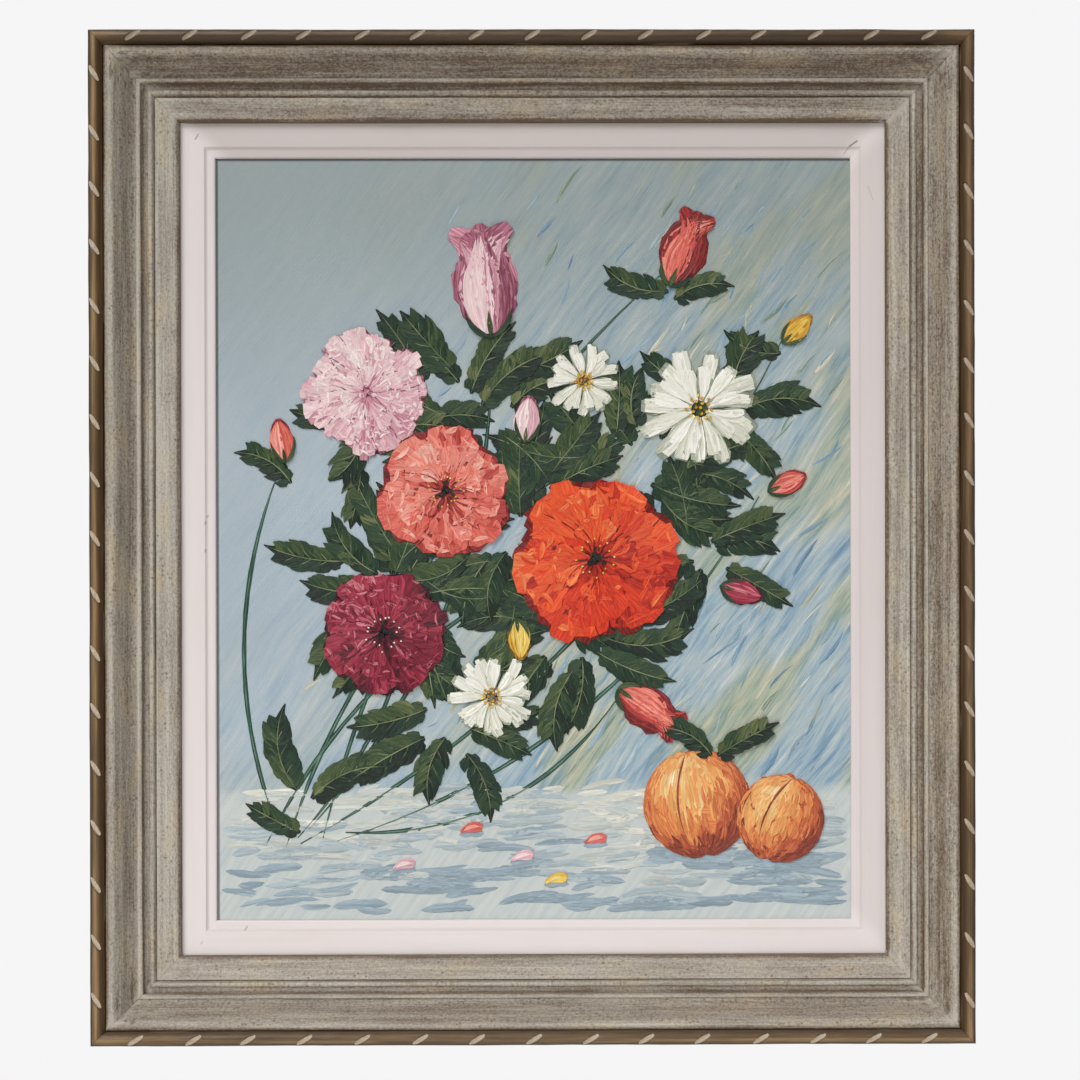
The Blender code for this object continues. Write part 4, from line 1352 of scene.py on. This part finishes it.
def tulip(paint, base, angle, length, colours, level, open_out=0.36):
    """A tulip from the side: three petals behind, then three in front, on a calyx."""
    for lift, leans, reach in ((0.0, (-1, 0, 1), 1.0), (0.5, (-0.62, 0.62, 0.0), 0.92)):
        for k, lean in enumerate(leans):
            turned_to = angle - lean * open_out * 44
            tip = polar(base, turned_to, length * reach)
            bow = lean * 0.22
            wide = length * (0.42 if lift else 0.38)
            at = level + lift + 0.1 * k
            paint.touch(base, tip, wide * 1.1, colours, 0.05, bow, at, 0.12, "cup")
            for i, shift in enumerate((-0.8, 0.8, -0.4, 0.4, 0.0)):
                root = polar(base, angle + 90, shift * wide * 0.16)
                end = polar(tip, angle + 90, shift * wide * 0.14)
                end = along_bow(root, end, 0, paint.hand.uniform(0.86, 0.97))
                share = (0.34 if lift else 0.22) + 0.08 * i + 0.16 * shift + 0.2 * lean
                paint.touch(
                    root, end, wide * 0.32, colours, share, bow + shift * 0.08, at + 0.12, 0.5,
                    "leaf",
                )
    for lean, reach in ((-46, 0.3), (46, 0.3), (0, 0.2)):
        tip = polar(base, angle + lean, length * reach)
        paint.touch(
            polar(base, angle + 180, 3), tip, 4.2, LEAF_GREENS, 0.45, lean * 0.003, level + 1.2,
            0.4, "leaf",
        )


def bud(paint, base, angle, length, colours, level):
    paint.touch(base, polar(base, angle, length), length * 0.56, colours, 0.05, 0, level, 0.15, "cup")
    for i, shift in enumerate((-0.24, 0.24, -0.1, 0.1)):
        root = polar(base, angle + 90, shift * length * 0.4)
        tip = polar(base, angle + shift * 10, length * 0.93)
        paint.touch(
            root, tip, length * 0.24, colours, 0.4 + 0.12 * i, shift * 0.5, level + 0.2, 0.5,
            "leaf",
        )
    for lean, reach in ((-30, 0.6), (28, 0.56), (0, 0.3)):
        tip = polar(base, angle + lean, length * reach)
        paint.touch(
            polar(base, angle + 180, 2), tip, 3.0, LEAF_GREENS, 0.5, lean * 0.004, level + 0.6,
            0.35, "leaf",
        )


def peach(paint, centre, radius, level, cleft=0):
    """A round fruit: touches that run from pole to pole, from shade to light."""
    hand = paint.hand

    def on_ball(around, up):
        x = math.sin(math.radians(around)) * math.cos(math.radians(up))
        z = math.sin(math.radians(up))
        return polar(centre, math.degrees(math.atan2(z, x)) + cleft, radius * math.hypot(x, z))

    left, right = (centre[0] - radius, centre[1]), (centre[0] + radius, centre[1])
    paint.touch(left, right, 2 * radius, PEACHES, 0.3, 0, level, 0.15, "round")
    for number in range(300):
        around, up = hand.uniform(-85, 85), hand.uniform(-74, 74)
        x, z = (round_at - middle for round_at, middle in zip(on_ball(around, up), centre))
        x, z = x / radius, z / radius
        facing = math.sqrt(max(0, 1 - x * x - z * z))
        tone = 0.14 + 0.44 * facing - 0.20 * x + 0.26 * z
        turned_away = math.sin(math.radians(around))
        wide = radius * (0.08 + 0.13 * math.cos(math.radians(around)))
        paint.touch(
            on_ball(around, up - 13), on_ball(around, up + 13), wide, PEACHES, tone,
            -0.06 * turned_away, level + 0.2 + 0.001 * number, 0.3,
        )
    rim, heel = on_ball(-24, 84), on_ball(-24, -34)
    paint.touch(rim, heel, 1.8, PEACHES, 0.15, -0.10, level + 0.75, 0.12, "line")
    paint.touch(on_ball(-14, 80), on_ball(-17, -30), 3.2, PEACHES, 0.8, -0.06, level + 0.7, 0.2, "leaf")
    for i in range(6):
        paint.touch(
            on_ball(-44 + 4 * i, 24), on_ball(-42 + 4 * i, 44 + i), 2.4, PEACHES, 0.82, 0.04,
            level + 0.8, 0.3, "leaf",
        )


def paint_ground_marks():
    """Slanting marks scumbled over the ground, thicker to the right and below, and the
    pale cloth on the ledge, dragged on level with a broad knife."""
    paint = Paint("ground marks")
    hand = paint.hand
    for _ in range(460):
        x, z = hand.uniform(-218, 218), hand.uniform(-170, 262)
        crowd = max(0.0, min(1.0, (x + 130) / 300 + max(0, -z) / 460))
        if hand.random() > crowd:
            continue
        length = hand.uniform(10, 34)
        end = polar((x, z), hand.gauss(54, 9), length)
        palette = GROUND_BLUES if hand.random() < 0.55 else GROUND_EARTHS
        width = min(hand.uniform(1.2, 4.0), length * 0.14)
        if abs(end[0]) < 222 and abs(end[1]) < 266:
            paint.touch(
                (x, z), end, width, palette, hand.uniform(0.1, 0.75), hand.uniform(-0.07, 0.07),
                0.10, 0.10, "leaf",
            )
    for _ in range(330):
        z = hand.uniform(-264, LEDGE_TOP - 2)
        x = hand.uniform(-222, 204)
        end = (min(222, x + hand.uniform(16, 46)), max(-264, z + hand.gauss(1, 3)))
        light = 0.08 + 0.62 * (z + 264) / 90 + 0.16 * math.sin(x / 34)
        width = min(hand.uniform(3, 7), 0.28 * (end[0] - x))
        paint.touch((x, z), end, width, STONES, light, hand.uniform(-0.06, 0.06), 0.12, 0.28)
    return paint.finish("paint_ground_marks")


# The spray's main stems: start, end, bow
SPRAY_STEMS = (
    ((-190, -216), (40, -10), 0.10), ((-168, -212), (-112, 110), -0.16),
    ((-176, -218), (110, 92), 0.12), ((-160, -206), (-30, 150), -0.10),
    ((-150, -212), (100, 196), 0.08), ((-140, -214), (160, 30), -0.10),
    ((-182, -206), (-176, 60), 0.10), ((-134, -208), (60, -112), -0.14),
    ((-166, -216), (176, 140), -0.08),
)
# Where the leaves crowd: place, how far they spread, how many
LEAF_CROWDS = (
    ((-96, -34), 62, 22), ((-10, 6), 74, 26), ((74, 44), 66, 20), ((-44, 92), 56, 14),
    ((30, -70), 56, 13), ((-118, 84), 48, 9), ((-60, -122), 46, 10), ((134, 88), 40, 7),
    ((120, -6), 44, 8),
)
LONE_LEAVES = (
    ((-168, -178), 98, 62, 22), ((-158, -184), 22, 60, 21), ((-166, -208), 152, 44, 16),
    ((-172, 40), 152, 46, 17), ((176, 132), 158, 44, 16), ((96, 176), 158, 50, 18),
    ((100, 170), 12, 44, 16),
)


def paint_leaves():
    """Stems, then a dark crowd of leaves that point outwards, and a few apart."""
    paint = Paint("leaves")
    hand = paint.hand
    for start, end, bow in SPRAY_STEMS:
        stem(paint, start, end, bow)
    for layer in (0, 1):
        for middle, spread, count in LEAF_CROWDS:
            for i in range(count // 2):
                angle = 360 * (i + 0.5 * layer) / (count // 2) + hand.uniform(-16, 16)
                out = spread * hand.uniform(0.15, 0.85) * (1 - 0.25 * layer)
                leaf(
                    paint, polar(middle, angle, out), angle + hand.uniform(-34, 34),
                    hand.uniform(44, 66), hand.uniform(17, 25),
                    0.3 + 0.35 * layer + 0.05 * (i % 3), 0.06 * layer,
                )
    for base, angle, length, width in LONE_LEAVES:
        leaf(paint, base, angle, length, width, 0.4, 0.05)
    return paint.finish("paint_leaves")


def paint_upper_blooms():
    paint = Paint("upper blooms")
    tulip(paint, (-30, 146), 96, 78, PINKS, 1.3)
    tulip(paint, (98, 182), 68, 54, CORALS, 1.0, 0.3)
    daisy(paint, (118, 92), 43, 1.5, 8)
    daisy(paint, (36, 112), 27, 1.3, 20, 13)
    bloom(paint, (-118, 104), 45, DAHLIA, PINKS, 1.3, 12)
    for i in range(9):
        spot = polar((-118, 104), 137.5 * i, 1.5 * math.sqrt(i))
        paint.touch(spot, polar(spot, 70 * i, 4.5), 3.6, PINKS, 0.2 + 0.06 * i, 0.1, 3.0, 0.5)
    bloom(paint, (-62, 34), 47, POPPY, CORALS, 1.6, 24)
    eye(paint, (-62, 34), 7, 3.1, YELLOWS)
    bud(paint, (178, 140), 44, 27, YELLOWS, 0.8)
    bud(paint, (-6, 70), 84, 32, PINKS, 1.6)
    bud(paint, (168, 34), 24, 28, CORALS, 1.2)
    return paint.finish("paint_upper_blooms")


def paint_lower_blooms():
    paint = Paint("lower blooms")
    bloom(paint, (44, -14), 60, POPPY, ORANGES, 1.8, 10)
    eye(paint, (44, -14), 8, 3.4, YELLOWS)
    bloom(paint, (-106, -66), 45, ANEMONE, CRIMSONS, 1.5, 12)
    eye(paint, (-106, -66), 8, 3.0, WHITES)
    daisy(paint, (-30, -112), 31, 1.5, 4, 14)
    tulip(paint, (62, -108), -34, 50, CORALS, 1.3, 0.3)
    bud(paint, (134, -34), -16, 30, CRIMSONS[1:], 1.2)
    bud(paint, (-176, 56), 100, 30, CORALS, 1.0)
    bud(paint, (-12, -58), -84, 28, YELLOWS, 1.5)
    return paint.finish("paint_lower_blooms")


# Petals fallen on the cloth: place and paints
FALLEN = (
    (-52, -208, CORALS), (-16, -228, PINKS), (36, -216, CORALS), (8, -244, YELLOWS),
    (-100, -234, PINKS),
)


def paint_fruit():
    """Two peaches with their shadows, and fallen petals on the cloth."""
    paint = Paint("fruit")
    hand = paint.hand
    for i in range(44):
        x, z = hand.uniform(78, 190), hand.uniform(-232, -220)
        paint.touch((x, z), (x + 18, z - 1), 6, STONES, 0.0, 0, 0.45, 0.2)
    peach(paint, (116, -188), 37, 0.8, 10)
    peach(paint, (175, -199), 30, 1.0, -20)
    leaf(paint, (130, -154), 28, 50, 18, 2.0)
    leaf(paint, (126, -154), 152, 42, 16, 2.0)
    for x, z, palette in FALLEN:
        paint.touch((x - 1, z - 2), (x + 16, z - 1), 7, STONES, 0.0, 0.1, 0.5, 0.2)
        paint.touch((x, z), (x + 15, z + 3), 8, palette, 0.5, 0.12, 0.7, 0.5, "petal")
        paint.touch((x + 2, z + 1), (x + 13, z + 4), 3.2, palette, 0.9, 0.12, 1.1, 0.4)
    return paint.finish("paint_fruit")


# Tacks and steel


def turned(name, outline, spot, finish, slot, sides=18):
    """A round piece turned about an axis that runs out of the back. The outline's points
    are (radius, height above its seat)."""
    turns = np.linspace(0, math.tau, sides, endpoint=False)
    points, faces = [], []
    for radius, height in outline:
        for t in turns:
            x, z = spot[0] + radius * math.cos(t), spot[2] + radius * math.sin(t)
            points.append((x, spot[1] + height, z))
    for ring in range(len(outline) - 1):
        for i in range(sides):
            a, b = ring * sides + i, ring * sides + (i + 1) % sides
            faces.append((a, a + sides, b + sides, b))
    faces.append(tuple(range(sides)))
    faces.append(tuple(range((len(outline) - 1) * sides, len(outline) * sides))[::-1])
    return piece(name, np.array(points), faces, finish)


TACK_HEAD_R = 0.0028
TACK_PITCH = 0.058
TACK_OFF_EDGE = 0.010
# From the shank, under the head, to the middle of its top: radius and height
TACK_OUTLINE = (
    (0.0009, -0.0010), (0.0010, 0.00002), (TACK_HEAD_R * 0.9, 0.00008), (TACK_HEAD_R, 0.00024),
    (TACK_HEAD_R * 0.8, 0.00048), (TACK_HEAD_R * 0.35, 0.00060), (0.0003, 0.00062),
)


def make_tacks():
    """Flat-headed tacks through the fold of the linen, all round the back."""
    hand = random.Random("tacks")
    for side in SIDES:
        length = rail_length(side, CANVAS_WIDTH, CANVAS_HEIGHT)
        count = int((length - 0.06) / TACK_PITCH) + 1
        for i in range(count):
            along = (i - (count - 1) / 2) * TACK_PITCH + hand.uniform(-0.003, 0.003)
            inset = TACK_OFF_EDGE + hand.uniform(-0.0012, 0.0012)
            on_rail = (np.array(value) for value in (along, inset, CANVAS_BACK))
            spot = laid(side, *on_rail, CANVAS_WIDTH, CANVAS_HEIGHT)
            turned(f"tack_{side}_{i + 1}", TACK_OUTLINE, spot, STEEL, "steel")


def dress_carried_over():
    """Grain and metal for the solids that stay as they are."""
    pine, beech = {}, {}
    for word, upright in (("level", False), ("upright", True)):
        pine[word] = planed_wood("pine_" + word, upright, PINE_PALE, PINE_DARK)
        beech[word] = planed_wood("beech_" + word, not upright, KEY_PALE, KEY_DARK, 0.03, 0.0008)
    finishes = {node: STEEL for node in ("hanger", "hanger_screw_1", "hanger_screw_2")}
    for side in SIDES:
        word = "upright" if side in ("left", "right") else "level"
        finishes["stretcher_" + side] = pine[word]
        for end in "ab":
            finishes[f"key_{side}_{end}"] = beech[word]
        for number in (1, 2):
            finishes[f"framing_point_{side}_{number}"] = STEEL
    for node, finish in finishes.items():
        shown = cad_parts[node]
        shown.data.materials.clear()
        shown.data.materials.append(finish)


make_moulding()
make_liner()
make_canvas()
paint_ground_marks()
paint_leaves()
paint_upper_blooms()
paint_lower_blooms()
paint_fruit()
make_tacks()
dress_carried_over()


# Floor, light and camera

FLOOR_Z = -1.2
FLOOR_RADIUS = 2.1
FLOOR_SIDES = 96
FLOOR_FORWARD = 0.55
GLOW_ON_PICTURE = 0.36
GLOW_SEEN = 0.92
LOW_LAMP_PLACE = (-0.1, -1.25, CENTRE.z - 0.62)
LOW_LAMP_TOWARDS = (0.0, -1.25, -0.30)
CAMERA_PLACE = (0.0295, -1.2, CENTRE.z - 0.0434)
CAMERA_TURN_DEG = (89.84, 0.11, -0.271)
CAMERA_LENS_MM = 55.441
CAMERA_SHIFT = (-0.04, 0.06)


def placed(made, place=(0, 0, 0), towards=None):
    """Puts a light or the floor into the scene; a light's back points towards a direction."""
    made.location = place
    if towards:
        made.rotation_euler = Vector(towards).to_track_quat("Z", "Y").to_euler()
    bpy.context.scene.collection.objects.link(made)
    return made


def lay_floor():
    mesh = bpy.data.meshes.new("floor")
    turns = np.linspace(0, math.tau, FLOOR_SIDES + 1)[:-1]
    ring = [
        (FLOOR_RADIUS * math.cos(t), FLOOR_RADIUS * math.sin(t) - FLOOR_FORWARD, FLOOR_Z)
        for t in turns
    ]
    mesh.from_pydata(ring, [], [list(range(FLOOR_SIDES))])
    paint, _, shader = material("pale_floor")
    shader["Base Color"].default_value = (0.86, 0.86, 0.85, 1)
    shader["Roughness"].default_value = 0.7
    mesh.materials.append(paint)
    placed(bpy.data.objects.new("floor", mesh))


def light_the_room():
    """A pale world, which the camera sees a little brighter than it lights."""
    world = bpy.data.worlds.new("studio")
    bpy.context.scene.world = world
    world.use_nodes = True
    sky = Tree(world.node_tree)
    for old in list(world.node_tree.nodes):
        world.node_tree.nodes.remove(old)
    seen = sky.node("LightPath", out="Is Camera Ray")
    strength = seen * (GLOW_SEEN - GLOW_ON_PICTURE) + GLOW_ON_PICTURE
    glow = sky.node("Background", {"Color": (1.0, 1.0, 1.0, 1), "Strength": strength})
    end = world.node_tree.nodes.new("ShaderNodeOutputWorld")
    sky.feed(end.inputs["Surface"], glow)


def soft_light(name, towards, strength, softness):
    """Even light from far off; towards points from the picture to the light."""
    light = bpy.data.lights.new(name, "SUN")
    light.energy = strength
    light.angle = math.radians(softness)
    placed(bpy.data.objects.new(name, light), towards=towards)


def low_light():
    """A weak lamp low in front, so the bottom is a little lighter than the top."""
    lamp = bpy.data.lights.new("low_lamp", "AREA")
    lamp.energy = 2.6
    lamp.size = 0.7
    placed(bpy.data.objects.new("low_light", lamp), LOW_LAMP_PLACE, LOW_LAMP_TOWARDS)


def set_camera():
    lens = bpy.data.cameras.new("camera")
    lens.lens = CAMERA_LENS_MM
    lens.sensor_width = 36
    lens.shift_x, lens.shift_y = CAMERA_SHIFT
    lens.clip_start = 0.05
    camera = placed(bpy.data.objects.new("camera", lens), CAMERA_PLACE)
    camera.rotation_euler = [math.radians(turn) for turn in CAMERA_TURN_DEG]
    bpy.context.scene.camera = camera
    bpy.context.scene.view_settings.view_transform = "Standard"


lay_floor()
light_the_room()
soft_light("key_light", (-0.55, -1.0, 1.1), 1.9, 34)
soft_light("back_light", (0.5, 1.0, 0.7), 1.6, 40)
low_light()
set_camera()
